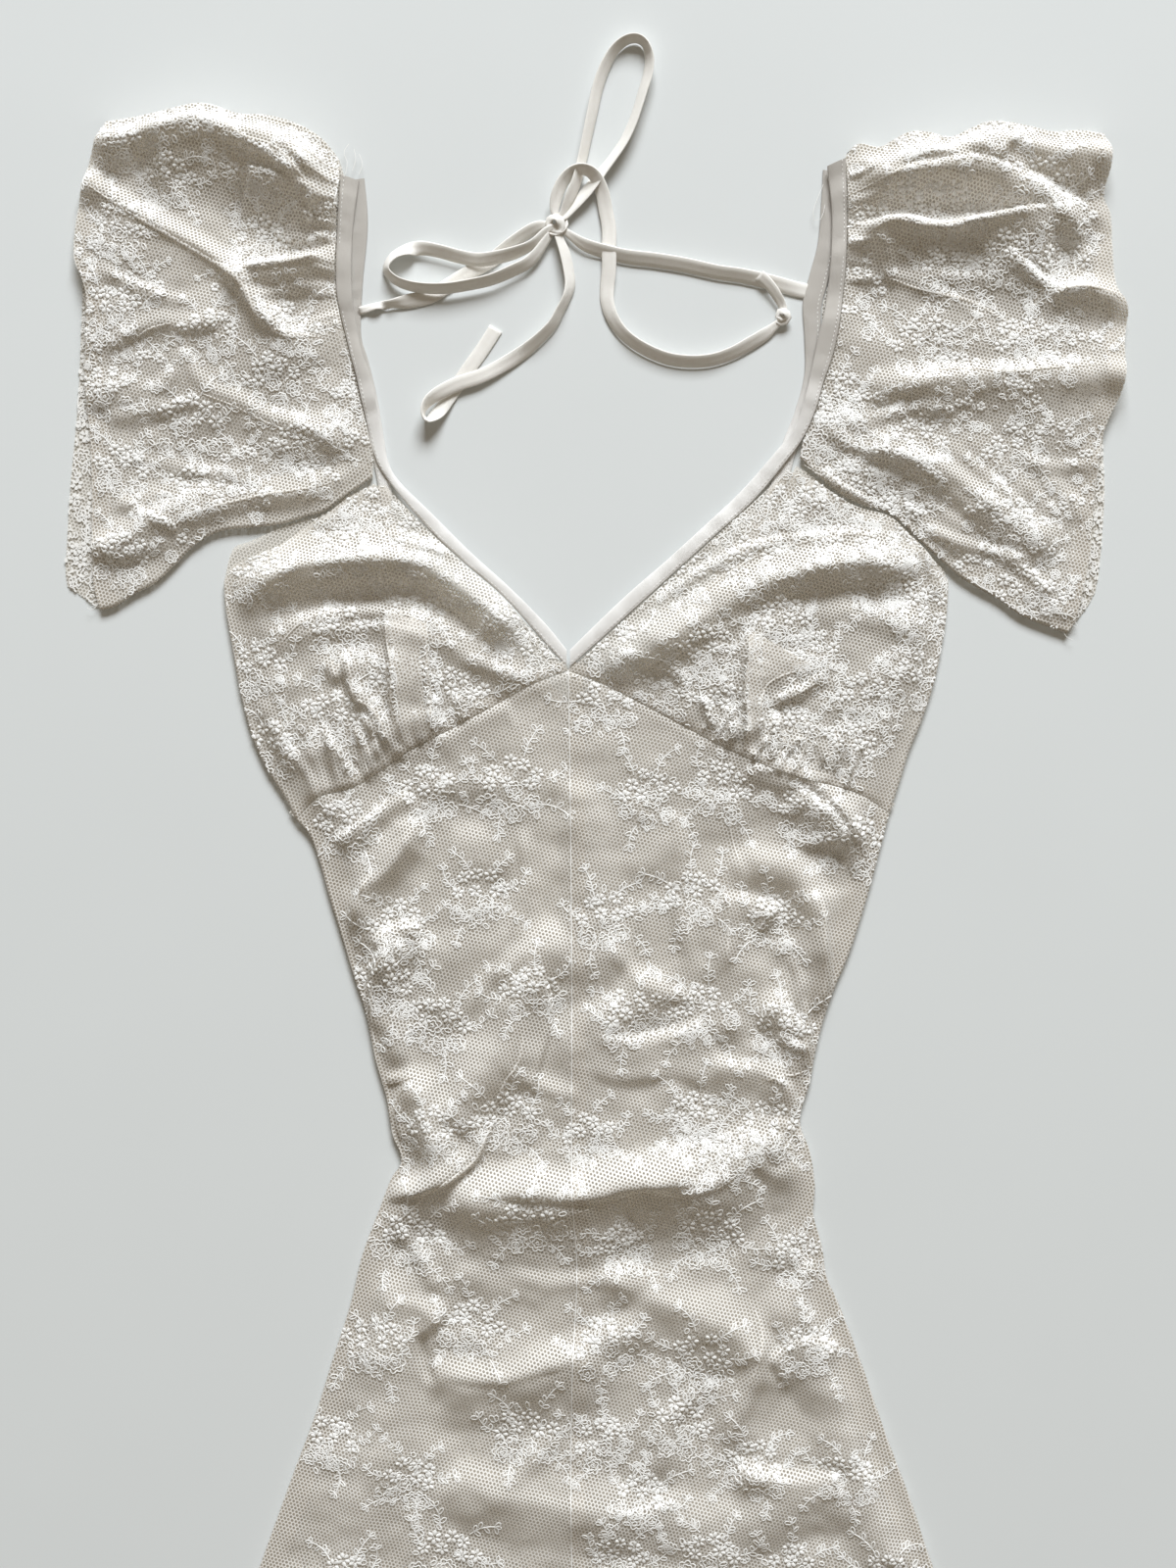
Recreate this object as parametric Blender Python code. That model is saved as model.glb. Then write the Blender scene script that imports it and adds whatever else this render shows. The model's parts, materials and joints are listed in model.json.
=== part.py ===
"""A lace dress laid flat on a table, face up, with its back ties in a bow.

Tables are in millimetres and the solids in metres. +X points to the sleeve on the right,
+Y to the neck and +Z up from the table. The origin lies on the table, in the middle of
the dress. The back rests flat, the front lies over it in folds, and each sleeve is a
flattened tube that puffs up where it is gathered into the neck binding.
"""
import math

import bmesh
import bpy

MM = 0.001

# Driving dimensions, in millimetres
CLOTH = 1.2
BINDING = 1.6
TAPE = 1.2
SEAM_GAP = 0.5
LAYER_GAP = 0.3
FRONT_FLOOR = BINDING + LAYER_GAP
FRONT_EASE = 1.4
SLEEVE_EASE = 0.8
EDGE_SOFT = 22
SLEEVE_EDGE_SOFT = 24
HEM_WAVE = 3.5
HEM_WAVE_LENGTH = 96
HEM_WAVE_REACH = 330
BOW_KNOT_RADIUS = 6.5
END_KNOT_RADIUS = 5
KNOT_HEIGHT = 7
KNOT_SIDES = 14
CURVE_STEPS = 8

# Mesh density of the panels: cells across and cells along
FRONT_CELLS = (14, 38)
CUP_CELLS = (14, 15)
SLEEVE_CELLS = (13, 16)
BINDING_CELLS = 30

# Binding strips: neck side x and y, then cloth side x and y, from the shoulder down
FRONT_BINDING_LEFT = (
    (-142, 566, -153, 570),
    (-146, 534, -155, 535),
    (-146, 498, -155, 499),
    (-141, 467, -148, 467),
    (-135, 449, -143, 448),
    (-130, 425, -138, 425),
    (-126, 404, -133, 404),
    (-119, 389, -125, 389),
    (-97, 367, -102, 361),
    (-76, 346, -80, 340),
    (-53, 325, -57, 320),
    (-32, 304, -37, 298),
    (-19, 288, -19, 278),
)
FRONT_BINDING_RIGHT = (
    (135, 574, 146, 579),
    (138, 545, 147, 544),
    (137, 515, 146, 515),
    (134, 491, 143, 487),
    (130, 474, 139, 465),
    (126, 455, 133, 447),
    (122, 438, 128, 430),
    (116, 420, 121, 414),
    (106, 407, 111, 400),
    (85, 383, 91, 376),
    (63, 362, 69, 356),
    (40, 341, 46, 335),
    (17, 321, 23, 314),
    (-3, 302, 2, 295),
    (-17, 288, -17, 278),
)
BACK_BINDING_LEFT = (
    (-139, 568, -150, 566),
    (-137, 541, -150, 539),
    (-140, 506, -151, 505),
    (-141, 476, -150, 474),
    (-137, 461, -147, 457),
    (-132, 441, -140, 438),
    (-127, 412, -135, 409),
    (-123, 383, -130, 381),
    (-117, 354, -124, 348),
    (-96, 331, -103, 324),
    (-73, 312, -79, 304),
    (-52, 292, -58, 284),
    (-18, 258, -18, 245),
)
BACK_BINDING_RIGHT = (
    (133, 573, 143, 571),
    (132, 554, 143, 550),
    (130, 530, 141, 528),
    (125, 511, 136, 507),
    (121, 494, 132, 491),
    (122, 474, 132, 472),
    (122, 452, 130, 449),
    (116, 429, 124, 426),
    (109, 411, 117, 407),
    (103, 389, 111, 385),
    (89, 362, 97, 356),
    (72, 339, 79, 332),
    (52, 309, 59, 301),
    (26, 285, 31, 277),
    (-17, 257, -17, 244),
)

# Curved seam under the bust, from the centre front to the side
BUST_SEAM_LEFT = (
    (-18, 276), (-41, 267), (-64, 254), (-88, 241), (-111, 229), (-125, 219),
    (-139, 210), (-151, 205), (-166, 201), (-179, 188),
)
BUST_SEAM_RIGHT = (
    (-18, 276), (5, 267), (28, 255), (52, 242), (75, 230), (98, 220),
    (121, 212), (139, 208), (156, 202), (172, 192),
)

# Armhole edge of each cup, from the neck binding to the underarm
CUP_ARMHOLE_LEFT = (
    (-126, 385), (-136, 385), (-150, 377), (-162, 368), (-175, 360), (-188, 350),
    (-205, 343), (-216, 338), (-222, 329),
)
CUP_ARMHOLE_RIGHT = (
    (111, 394), (119, 392), (130, 387), (143, 378), (155, 372), (172, 367),
    (183, 357), (194, 346), (207, 329),
)

# Side of each cup, from the underarm down to the seam under the bust
CUP_SIDE_LEFT = (
    (-222, 329), (-221, 313), (-217, 290), (-213, 267), (-208, 246), (-202, 229),
    (-195, 215), (-186, 201), (-179, 188),
)
CUP_SIDE_RIGHT = (
    (207, 329), (206, 310), (203, 290), (198, 267), (191, 246), (184, 229),
    (178, 210), (172, 192),
)

# Side seams of the skirt, from the seam under the bust to the hem
BODY_SIDE_LEFT = (
    (-179, 188), (-171, 178), (-165, 162), (-160, 144), (-152, 118), (-146, 98),
    (-139, 77), (-135, 59), (-132, 44), (-126, 24), (-123, 6), (-117, -14),
    (-123, -25), (-130, -43), (-140, -70), (-147, -99), (-157, -130), (-167, -162),
    (-180, -197), (-188, -219), (-201, -255), (-240, -365), (-324, -592),
)
BODY_SIDE_RIGHT = (
    (172, 192), (168, 176), (162, 153), (155, 129), (148, 108), (140, 89),
    (133, 69), (128, 49), (125, 32), (119, 10), (125, -9), (128, -29),
    (127, -46), (132, -64), (135, -83), (142, -99), (154, -130), (165, -162),
    (171, -179), (186, -219), (198, -255), (239, -365), (324, -592),
)
CENTRE_FRONT = (
    (-18, 276), (-17, 209), (-16, 93), (-16, -23), (-13, -81), (-16, -151),
    (-16, -255), (-11, -429), (-6, -612),
)
HEM_LEFT = ((-324, -592), (-221, -603), (-111, -610), (-6, -612))
HEM_RIGHT = ((324, -592), (220, -603), (110, -610), (-6, -612))

# Armhole of the back, from its neck binding to the underarm
BACK_ARMHOLE_LEFT = (
    (-133, 387), (-139, 383), (-150, 379), (-162, 369), (-175, 365), (-188, 361),
    (-206, 353), (-216, 349), (-220, 339),
)
BACK_ARMHOLE_RIGHT = (
    (116, 398), (127, 391), (142, 379), (156, 372), (172, 367), (185, 357),
    (195, 346), (204, 336),
)

# Sleeve outlines: fold edges run from the head to the hem, hems from the top to the bottom
SLEEVE_TOP_LEFT = (
    (-154, 579), (-164, 591), (-179, 600), (-197, 605), (-214, 606), (-228, 611),
    (-240, 612), (-257, 608), (-274, 604), (-292, 601),
)
SLEEVE_BOTTOM_LEFT = (
    (-134, 391), (-141, 386), (-150, 380), (-162, 371), (-175, 367), (-188, 363),
    (-205, 361), (-218, 360), (-229, 357), (-240, 350), (-252, 338), (-263, 328),
    (-276, 321), (-287, 314), (-295, 312),
)
SLEEVE_HEM_LEFT = (
    (-292, 601), (-298, 588), (-305, 564), (-310, 536), (-310, 519), (-306, 509), (-303, 498),
    (-303, 476), (-304, 455), (-303, 433), (-301, 412), (-300, 380), (-300, 347), (-299, 327),
    (-295, 312),
)
SLEEVE_UNDER_HEM_LEFT = (
    (-292, 601), (-296, 586), (-301, 564), (-304, 536), (-306, 505), (-307, 476), (-309, 433),
    (-313, 390), (-315, 358), (-316, 329), (-309, 322), (-295, 312),
)
SLEEVE_TOP_RIGHT = (
    (147, 582), (154, 588), (166, 586), (174, 590), (184, 595), (195, 595),
    (208, 592), (220, 597), (230, 601), (242, 601), (257, 598), (270, 595),
    (284, 596), (299, 594),
)
SLEEVE_BOTTOM_RIGHT = (
    (119, 402), (128, 393), (142, 381), (156, 374), (172, 369), (185, 358),
    (195, 348), (205, 339), (213, 332), (224, 325), (237, 318), (249, 309),
    (263, 303), (277, 298),
)
SLEEVE_HEM_RIGHT = (
    (299, 594), (302, 586), (302, 573), (299, 558), (303, 545), (304, 525),
    (306, 503), (311, 495), (313, 486), (311, 470), (311, 453), (308, 438),
    (303, 428), (299, 418), (297, 408), (295, 394), (293, 376), (291, 346),
    (287, 325), (282, 306), (277, 298),
)
SLEEVE_UNDER_HEM_RIGHT = (
    (299, 594), (299, 577), (297, 558), (299, 525), (302, 499), (306, 470),
    (303, 441), (299, 412), (300, 383), (298, 350), (295, 325), (289, 313),
    (277, 298),
)

# Ridges of the front: half width, height, then the places each one runs through
FRONT_RIDGES = (
    (13, 13, ((-78, -29), (-47, -25), (-12, -27), (17, -20), (46, -16))),
    (14, 13, ((46, -16), (69, -17), (92, -5), (118, 5))),
    (14, 11, ((-108, 23), (-104, 3), (-95, -13), (-105, -28), (-121, -36))),
    (13, 10, ((-30, 111), (-47, 93), (-52, 64), (-64, 41), (-82, 17))),
    (10, 8, ((-115, 180), (-131, 157), (-141, 136), (-143, 121))),
    (9, 9, ((-122, 113), (-129, 93), (-129, 72), (-125, 52))),
    (8, 7, ((92, 215), (121, 208), (144, 188), (158, 164))),
    (10, 9, ((92, 162), (117, 155), (128, 133), (130, 102), (128, 81))),
    (9, 8, ((104, 75), (118, 61), (121, 42))),
    (9, 8, ((105, 32), (114, 14), (120, -6))),
    (11, 5, ((78, 130), (79, 102), (76, 70))),
    (12, 5, ((28, 87), (5, 70), (-18, 58))),
    (12, 4, ((-76, 174), (-82, 128), (-93, 81))),
    (12, 5, ((-12, 197), (-6, 151), (-12, 104))),
    (14, 9, ((-122, -99), (-124, -139), (-131, -186), (-144, -238), (-166, -325))),
    (11, 6, ((-90, -142), (-61, -144), (-30, -136), (-1, -125), (23, -110))),
    (12, 6, ((17, -87), (52, -99), (78, -110), (93, -133), (82, -168))),
    (13, 7, ((110, -104), (130, -139), (147, -186), (171, -244))),
    (14, 6, ((-82, -209), (-30, -217), (23, -226), (75, -229), (115, -215))),
    (16, 8, ((-64, -313), (-82, -400), (-105, -493), (-125, -592))),
    (16, 8, ((23, -302), (34, -400), (46, -493), (59, -603))),
    (16, 8, ((133, -313), (162, -406), (194, -505), (217, -586))),
    (15, 7, ((-186, -325), (-215, -418), (-244, -516), (-262, -586))),
)

# Ridges of the gathered cups
CUP_RIDGES = (
    (12, 10, ((-209, 331), (-180, 345), (-128, 357), (-93, 345), (-64, 323))),
    (11, 8, ((-186, 295), (-154, 304), (-122, 307), (-90, 296), (-56, 273))),
    (70, 7, ((-154, 273), (-105, 284))),
    (6, 6, ((-170, 204), (-170, 232), (-175, 255))),
    (6, 6, ((-151, 211), (-154, 244), (-157, 273))),
    (6, 7, ((-135, 217), (-139, 249), (-144, 284))),
    (6, 7, ((-118, 229), (-120, 261), (-124, 302))),
    (6, 7, ((-99, 238), (-99, 267), (-103, 296))),
    (6, 6, ((-78, 249), (-79, 273), (-84, 288))),
    (12, 10, ((17, 297), (52, 319), (86, 338), (121, 348), (176, 353))),
    (11, 8, ((95, 299), (144, 310), (185, 302))),
    (70, 7, ((92, 278), (144, 278))),
    (6, 5, ((52, 248), (49, 267), (45, 284))),
    (6, 6, ((74, 237), (72, 261), (70, 290))),
    (6, 7, ((88, 227), (85, 261), (88, 295))),
    (6, 7, ((100, 225), (96, 255), (99, 284))),
    (6, 6, ((117, 219), (110, 244), (113, 267))),
    (6, 5, ((136, 213), (134, 238), (139, 267))),
)

# Ridges of the puffed sleeves
SLEEVE_RIDGES = (
    (14, 18, ((-299, 566), (-279, 548), (-250, 531), (-224, 515), (-206, 493), (-186, 473))),
    (13, 18, ((-285, 592), (-256, 600), (-230, 602), (-204, 590), (-180, 575), (-160, 557))),
    (8, 12, ((-215, 509), (-186, 512), (-157, 519))),
    (50, 9, ((-256, 499), (-230, 481))),
    (10, 10, ((-202, 600), (-180, 589), (-160, 571))),
    (11, 6, ((-291, 444), (-238, 438), (-186, 418), (-151, 418))),
    (10, 7, ((-291, 348), (-244, 371), (-198, 378), (-151, 383))),
    (12, 8, ((-186, 473), (-169, 470), (-154, 476))),
    (14, 15, ((159, 573), (197, 582), (231, 587), (260, 585), (292, 581))),
    (11, 13, ((151, 559), (179, 565), (214, 566), (243, 561), (275, 544))),
    (8, 14, ((151, 529), (182, 539), (202, 535), (231, 541), (260, 538))),
    (12, 14, ((162, 509), (191, 500), (226, 486), (260, 492), (307, 490))),
    (10, 9, ((168, 445), (214, 447), (260, 450), (306, 451))),
    (50, 6, ((197, 464), (260, 464))),
    (10, 7, ((168, 409), (202, 394), (231, 371), (260, 355))),
    (9, 5, ((202, 348), (237, 325), (272, 306))),
)

# Tape routes: x, y, height of the underside, width
TIE_LEFT = (
    (-139, 490, 0, 9), (-124, 493, 0, 9), (-113, 495, 0, 9), (-100, 498, 0, 8),
    (-90, 506, 0, 8), (-77, 513, 0, 8), (-64, 520, 0, 9), (-48, 532, 0, 9),
    (-38, 538, 0, 8), (-32, 540, 0, 5),
)
BOW_LOOP_LEFT = (
    (-30, 535, 1.6, 4), (-33, 528, 1.6, 6), (-41, 518, 1.6, 8), (-52, 512, 1.6, 9),
    (-64, 507, 1.6, 9), (-77, 504, 1.6, 9), (-90, 502, 1.6, 9), (-103, 502, 1.6, 9),
    (-116, 504, 1.6, 8), (-123, 509, 1.6, 8), (-125, 514, 1.6, 8), (-121, 521, 1.6, 8),
    (-114, 525, 1.6, 9), (-105, 525, 1.6, 9), (-94, 523, 1.6, 9), (-83, 520, 1.6, 9),
    (-72, 519, 2, 9), (-61, 520, 3.2, 9), (-49, 523, 3.4, 9), (-39, 528, 3.4, 7),
    (-31, 536, 3.4, 4),
)
BOW_LOOP_UPPER = (
    (-22, 546, 1.6, 4), (-18, 553, 1.8, 7), (-14, 561, 1.8, 8), (-12, 572, 0.8, 9),
    (-9, 583, 0, 9), (-6, 597, 0, 9), (-3, 608, 0, 9), (-1, 621, 0, 9),
    (3, 633, 0, 9), (8, 644, 0, 9), (15, 650, 0, 8), (23, 651, 0, 8),
    (28, 647, 0, 8), (30, 640, 0, 8), (29, 631, 0, 9), (27, 622, 0, 9),
    (24, 611, 0, 9), (20, 600, 0, 9), (15, 589, 0, 9), (8, 579, 0, 9),
    (1, 570, 0, 9), (-6, 561, 0, 8), (-13, 553, 0, 7), (-20, 546, 0, 4),
)
TIE_TAIL_LEFT = (
    (-24, 533, 0, 4), (-21, 526, 0, 7), (-18, 515, 0, 8), (-18, 506, 0, 8),
    (-20, 498, 0, 8), (-22, 489, 0, 8), (-28, 480, 0, 9), (-37, 470, 0, 9),
    (-46, 463, 0, 9), (-59, 456, 0.8, 9), (-71, 449, 1.8, 9), (-83, 445, 1.8, 9),
    (-93, 441, 1.8, 9), (-100, 436, 1.8, 8), (-99, 430, 1.8, 8),
)
TIE_TAIL_LEFT_END = (
    (-101, 425, 0, 8), (-95, 430, 0, 8), (-89, 438, 0, 9), (-83, 447, 0, 9),
    (-75, 458, 0, 9), (-68, 468, 0, 9), (-61, 479, 0, 9),
)
TIE_RIGHT = (
    (120, 502, 0, 9), (110, 504, 0, 9), (98, 507, 0, 9), (84, 510, 0, 9),
    (70, 512, 0, 9), (52, 516, 0, 9), (34, 519, 0, 9), (17, 521, 0, 9),
    (2, 524, 0, 9), (-9, 528, 0.8, 8), (-18, 534, 1.6, 4),
)
TIE_TAIL_RIGHT = (
    (-24, 547, 3.4, 4), (-23, 554, 3.4, 6), (-21, 563, 3.4, 8), (-18, 569, 3.4, 8),
    (-12, 572, 3.4, 8), (-5, 571, 3.4, 8), (0, 563, 1.8, 9), (4, 553, 0.4, 9),
    (6, 541, 1.6, 9), (6, 528, 1.8, 9), (6, 515, 1.6, 9), (6, 507, 0.3, 9),
    (6, 498, 0, 9), (6, 490, 0, 9), (10, 481, 0, 9), (17, 472, 0, 9),
    (28, 465, 0, 9), (41, 460, 0, 9), (54, 458, 0, 9), (66, 459, 0, 9),
    (79, 464, 0, 9), (91, 470, 0, 9), (99, 476, 0, 7), (105, 481, 0, 5),
)
TIE_TIP_RIGHT = (
    (109, 490, 0, 5), (107, 495, 1, 7), (103, 502, 1.8, 8), (96, 509, 1.8, 8),
)
BOW_KNOT_PLACE = (-25, 540)
END_KNOT_PLACE = (109, 485)

COLOURS = {
    "net": ((0.72, 0.67, 0.61, 1), 0.85),
    "binding": ((0.80, 0.76, 0.71, 1), 0.7),
    "tape": ((0.78, 0.73, 0.66, 1), 0.75),
}


class Curve:
    """A smooth curve through a table of places, read by its share of length."""

    def __init__(self, places):
        self.points = smooth(places)
        self.reach = [0]
        for start, end in zip(self.points, self.points[1:]):
            self.reach.append(self.reach[-1] + math.dist(start, end))

    def at(self, share):
        """The point at a share of the curve's length, from 0 to 1."""
        wanted = share * self.reach[-1]
        for index in range(1, len(self.points)):
            if self.reach[index] >= wanted:
                break
        start, end = self.points[index - 1], self.points[index]
        part = (wanted - self.reach[index - 1]) / (self.reach[index] - self.reach[index - 1])
        return tuple(a + (b - a) * part for a, b in zip(start, end))


def smooth(places):
    """Points along a Catmull-Rom curve through the places."""
    padded = [places[0]] + list(places) + [places[-1]]
    points = []
    for before, start, end, after in zip(padded, padded[1:], padded[2:], padded[3:]):
        for step in range(CURVE_STEPS):
            points.append(spline_point(before, start, end, after, step / CURVE_STEPS))
    points.append(tuple(places[-1]))
    return points


def spline_point(before, start, end, after, t):
    """One point of a Catmull-Rom span, in as many columns as its ends have."""
    columns = zip(before, start, end, after)
    return tuple(
        0.5 * (2 * b + (c - a) * t + (2 * a - 5 * b + 4 * c - d) * t ** 2
               + (3 * b - a - 3 * c + d) * t ** 3)
        for a, b, c, d in columns
    )


def soft_step(value):
    """0 below 0, 1 above 1 and a smooth rise between them."""
    value = min(max(value, 0), 1)
    return value * value * (3 - 2 * value)


def shifted(places, across, up=0):
    """The same places moved across and up."""
    return tuple((x + across, y + up) for x, y in places)


def patch_point(head, foot, near, far, u, v):
    """A place on the four-sided panel whose edges are these curves.

    Head and foot run along u, near joins their starts and far joins their ends.
    """
    corners = (head.at(0), head.at(1), foot.at(0), foot.at(1))
    place = []
    for axis in (0, 1):
        across = (1 - v) * head.at(u)[axis] + v * foot.at(u)[axis]
        along = (1 - u) * near.at(v)[axis] + u * far.at(v)[axis]
        top = (1 - u) * corners[0][axis] + u * corners[1][axis]
        bottom = (1 - u) * corners[2][axis] + u * corners[3][axis]
        place.append(across + along - (1 - v) * top - v * bottom)
    return tuple(place)


def distance_to_line(place, line):
    """The shortest distance from a place to a chain of points."""
    best = math.inf
    for start, end in zip(line, line[1:]):
        run = (end[0] - start[0], end[1] - start[1])
        offset = (place[0] - start[0], place[1] - start[1])
        length = run[0] ** 2 + run[1] ** 2
        share = (offset[0] * run[0] + offset[1] * run[1]) / length if length else 0
        share = min(max(share, 0), 1)
        best = min(best, math.hypot(offset[0] - share * run[0], offset[1] - share * run[1]))
    return best


def ridge_height(place, ridges):
    """The height of the soft ridges at a place, the highest of them leading."""
    total = 0
    for half_width, height, route in ridges:
        reach = 1.9 * half_width
        distance = distance_to_line(place, route)
        if distance < reach:
            total += (height * 0.5 * (1 + math.cos(math.pi * distance / reach))) ** 3
    return total ** (1 / 3)


def front_underside(place):
    """How high the underside of the front layer lies above the table."""
    x, y = place
    inset = min(distance_to_line(place, edge) for edge in BODY_EDGES)
    wave = HEM_WAVE * (0.5 + 0.5 * math.sin(2 * math.pi * x / HEM_WAVE_LENGTH))
    wave *= soft_step((HEM_TOP - y) / HEM_WAVE_REACH)
    lift = FRONT_EASE + wave + ridge_height(place, FRONT_RIDGES + CUP_RIDGES)
    return FRONT_FLOOR + lift * soft_step(inset / EDGE_SOFT)


def finish_solid(name, mesh, finish):
    """Turn the closed shape into an object of that name, with its faces outwards."""
    bmesh.ops.recalc_face_normals(mesh, faces=mesh.faces)
    data = bpy.data.meshes.new(name)
    mesh.to_mesh(data)
    mesh.free()
    data.materials.append(material(finish))
    solid = bpy.data.objects.new(name, data)
    bpy.context.scene.collection.objects.link(solid)
    return solid


def material(finish):
    """The plain material of one cloth, made once."""
    if finish in bpy.data.materials:
        return bpy.data.materials[finish]
    colour, roughness = COLOURS[finish]
    made = bpy.data.materials.new(finish)
    made.use_nodes = True
    shader = made.node_tree.nodes["Principled BSDF"]
    shader.inputs["Base Color"].default_value = colour
    shader.inputs["Roughness"].default_value = roughness
    shader.inputs["Metallic"].default_value = 0
    return made


def skin(mesh, rows, closed=False):
    """Triangles over rows of vertices, all cut along the same diagonal."""
    for row, next_row in zip(rows, rows[1:]):
        count = len(row)
        for index in range(count if closed else count - 1):
            after = (index + 1) % count
            a, b, c, d = row[index], row[after], next_row[after], next_row[index]
            mesh.faces.new((a, b, c))
            mesh.faces.new((a, c, d))


def vertex_rows(mesh, rows, lift=0):
    """New vertices at rows of places in millimetres."""
    return [[mesh.verts.new((x * MM, y * MM, (z + lift) * MM)) for x, y, z in row] for row in rows]


def rim_of(rows):
    """The vertices round the border of rows, in order."""
    rim = list(rows[0])
    rim += [row[-1] for row in rows[1:-1]]
    rim += list(reversed(rows[-1]))
    rim += [row[0] for row in reversed(rows[1:-1])]
    return rim


def wall(name, rows, thickness, finish):
    """A closed wall of cloth over rows of underside places."""
    mesh = bmesh.new()
    lower = vertex_rows(mesh, rows)
    upper = vertex_rows(mesh, rows, thickness)
    skin(mesh, lower)
    skin(mesh, upper)
    skin(mesh, [rim_of(lower), rim_of(upper)], closed=True)
    return finish_solid(name, mesh, finish)


def panel(name, head, foot, near, far, cells):
    """A panel of the front layer between four edges, lying in its folds."""
    across, along = cells
    edges = [Curve(edge) for edge in (head, foot, near, far)]
    rows = []
    for row in range(along + 1):
        places = [patch_point(*edges, column / across, row / along) for column in range(across + 1)]
        rows.append([(x, y, front_underside((x, y))) for x, y in places])
    return wall(name, rows, CLOTH, "net")


def binding(name, table, underside):
    """A bound edge: a strip between the neck side and the cloth side of a table."""
    neck = Curve([(row[0], row[1]) for row in table])
    cloth = Curve([(row[2], row[3]) for row in table])
    rows = []
    for step in range(BINDING_CELLS + 1):
        share = step / BINDING_CELLS
        ends = (neck.at(share), cloth.at(share))
        middle = tuple((a + b) / 2 for a, b in zip(*ends))
        height = underside(middle)
        rows.append([(x, y, height) for x, y in ends])
    return wall(name, rows, BINDING, "binding")


def cloth_side(table, start, stop):
    """The cloth side places of some rows of a binding table."""
    return tuple((row[2], row[3]) for row in table[start:stop])


def back_panel():
    """The back, one flat plate cut along its armholes, sides, hem and V neck."""
    neck_left = shifted(cloth_side(BACK_BINDING_LEFT, 7, 13), -SEAM_GAP, -SEAM_GAP)
    neck_right = shifted(cloth_side(BACK_BINDING_RIGHT, 9, 15), SEAM_GAP, -SEAM_GAP)
    edges = (
        reversed(smooth(neck_left)), smooth(BACK_ARMHOLE_LEFT), smooth(CUP_SIDE_LEFT),
        smooth(BODY_SIDE_LEFT), smooth(HEM_LEFT), reversed(smooth(HEM_RIGHT)),
        reversed(smooth(BODY_SIDE_RIGHT)), reversed(smooth(CUP_SIDE_RIGHT)),
        reversed(smooth(BACK_ARMHOLE_RIGHT)), smooth(neck_right),
    )
    outline = []
    for edge in edges:
        for place in list(edge)[::2]:
            if not outline or math.dist(place, outline[-1]) > 1:
                outline.append(place)
    mesh = bmesh.new()
    face = mesh.faces.new([mesh.verts.new((x * MM, y * MM, 0)) for x, y in outline])
    extruded = bmesh.ops.extrude_face_region(mesh, geom=[face], use_keep_orig=True)
    raised = [item for item in extruded["geom"] if isinstance(item, bmesh.types.BMVert)]
    bmesh.ops.translate(mesh, verts=raised, vec=(0, 0, CLOTH * MM))
    return finish_solid("back", mesh, "net")


def sleeve(name, upper_edges, under_edges, shoulder):
    """A sleeve: a flattened tube, flat below and puffed above, open at head and hem.

    Each set of edges is head, hem, top fold and bottom fold. The shoulder is the line
    of the binding, where the gathers are held low.
    """
    across, along = SLEEVE_CELLS
    upper = [Curve(edge) for edge in upper_edges]
    under = [Curve(edge) for edge in under_edges]
    bottom_fold, top_fold = smooth(upper_edges[3]), smooth(upper_edges[2])
    mesh = bmesh.new()
    outer, inner = [], []
    for row in range(along + 1):
        v = row / along
        over = [patch_point(*upper, column / across, v) for column in range(across + 1)]
        below = [patch_point(*under, column / across, v) for column in range(across + 1)]
        hollow = []
        for place in over:
            inset = min(distance_to_line(place, top_fold), distance_to_line(place, bottom_fold))
            held = 0.45 + 0.55 * soft_step(distance_to_line(place, shoulder) / SLEEVE_EDGE_SOFT)
            puff = ridge_height(place, SLEEVE_RIDGES) * soft_step(inset / SLEEVE_EDGE_SOFT)
            hollow.append(CLOTH + SLEEVE_EASE + puff * held)
        top_in = inset_ends(over, CLOTH)
        low_in = inset_ends(below, CLOTH)
        outer.append([(x, y, z + CLOTH) for (x, y), z in zip(over, hollow)]
                     + [(x, y, 0) for x, y in reversed(below)])
        inner.append([(x, y, z) for (x, y), z in zip(top_in, hollow)]
                     + [(x, y, CLOTH) for x, y in reversed(low_in)])
    outer_rows = vertex_rows(mesh, outer)
    inner_rows = vertex_rows(mesh, inner)
    skin(mesh, outer_rows, closed=True)
    skin(mesh, inner_rows, closed=True)
    skin(mesh, [outer_rows[0], inner_rows[0]], closed=True)
    skin(mesh, [outer_rows[-1], inner_rows[-1]], closed=True)
    return finish_solid(name, mesh, "net")


def inset_ends(places, distance):
    """The places of a section with its two ends drawn in by a wall's thickness."""
    drawn = list(places)
    for end, next_place in ((0, 1), (-1, -2)):
        start, goal = places[end], places[next_place]
        share = distance / max(math.dist(start, goal), distance * 1.5)
        drawn[end] = tuple(a + (b - a) * share for a, b in zip(start, goal))
    return drawn


def tape(name, table):
    """A stretch of flat tape along a route of x, y, underside and width."""
    route = Curve(table)
    count = 2 * len(table)
    samples = [route.at(step / count) for step in range(count + 1)]
    rows = []
    for index, (x, y, height, width) in enumerate(samples):
        before = samples[max(index - 1, 0)]
        after = samples[min(index + 1, count)]
        run = (after[0] - before[0], after[1] - before[1])
        length = math.hypot(*run)
        side = (-run[1] / length * width / 2, run[0] / length * width / 2)
        rows.append([(x + side[0], y + side[1], height), (x - side[0], y - side[1], height)])
    return wall(name, rows, TAPE, "tape")


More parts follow.
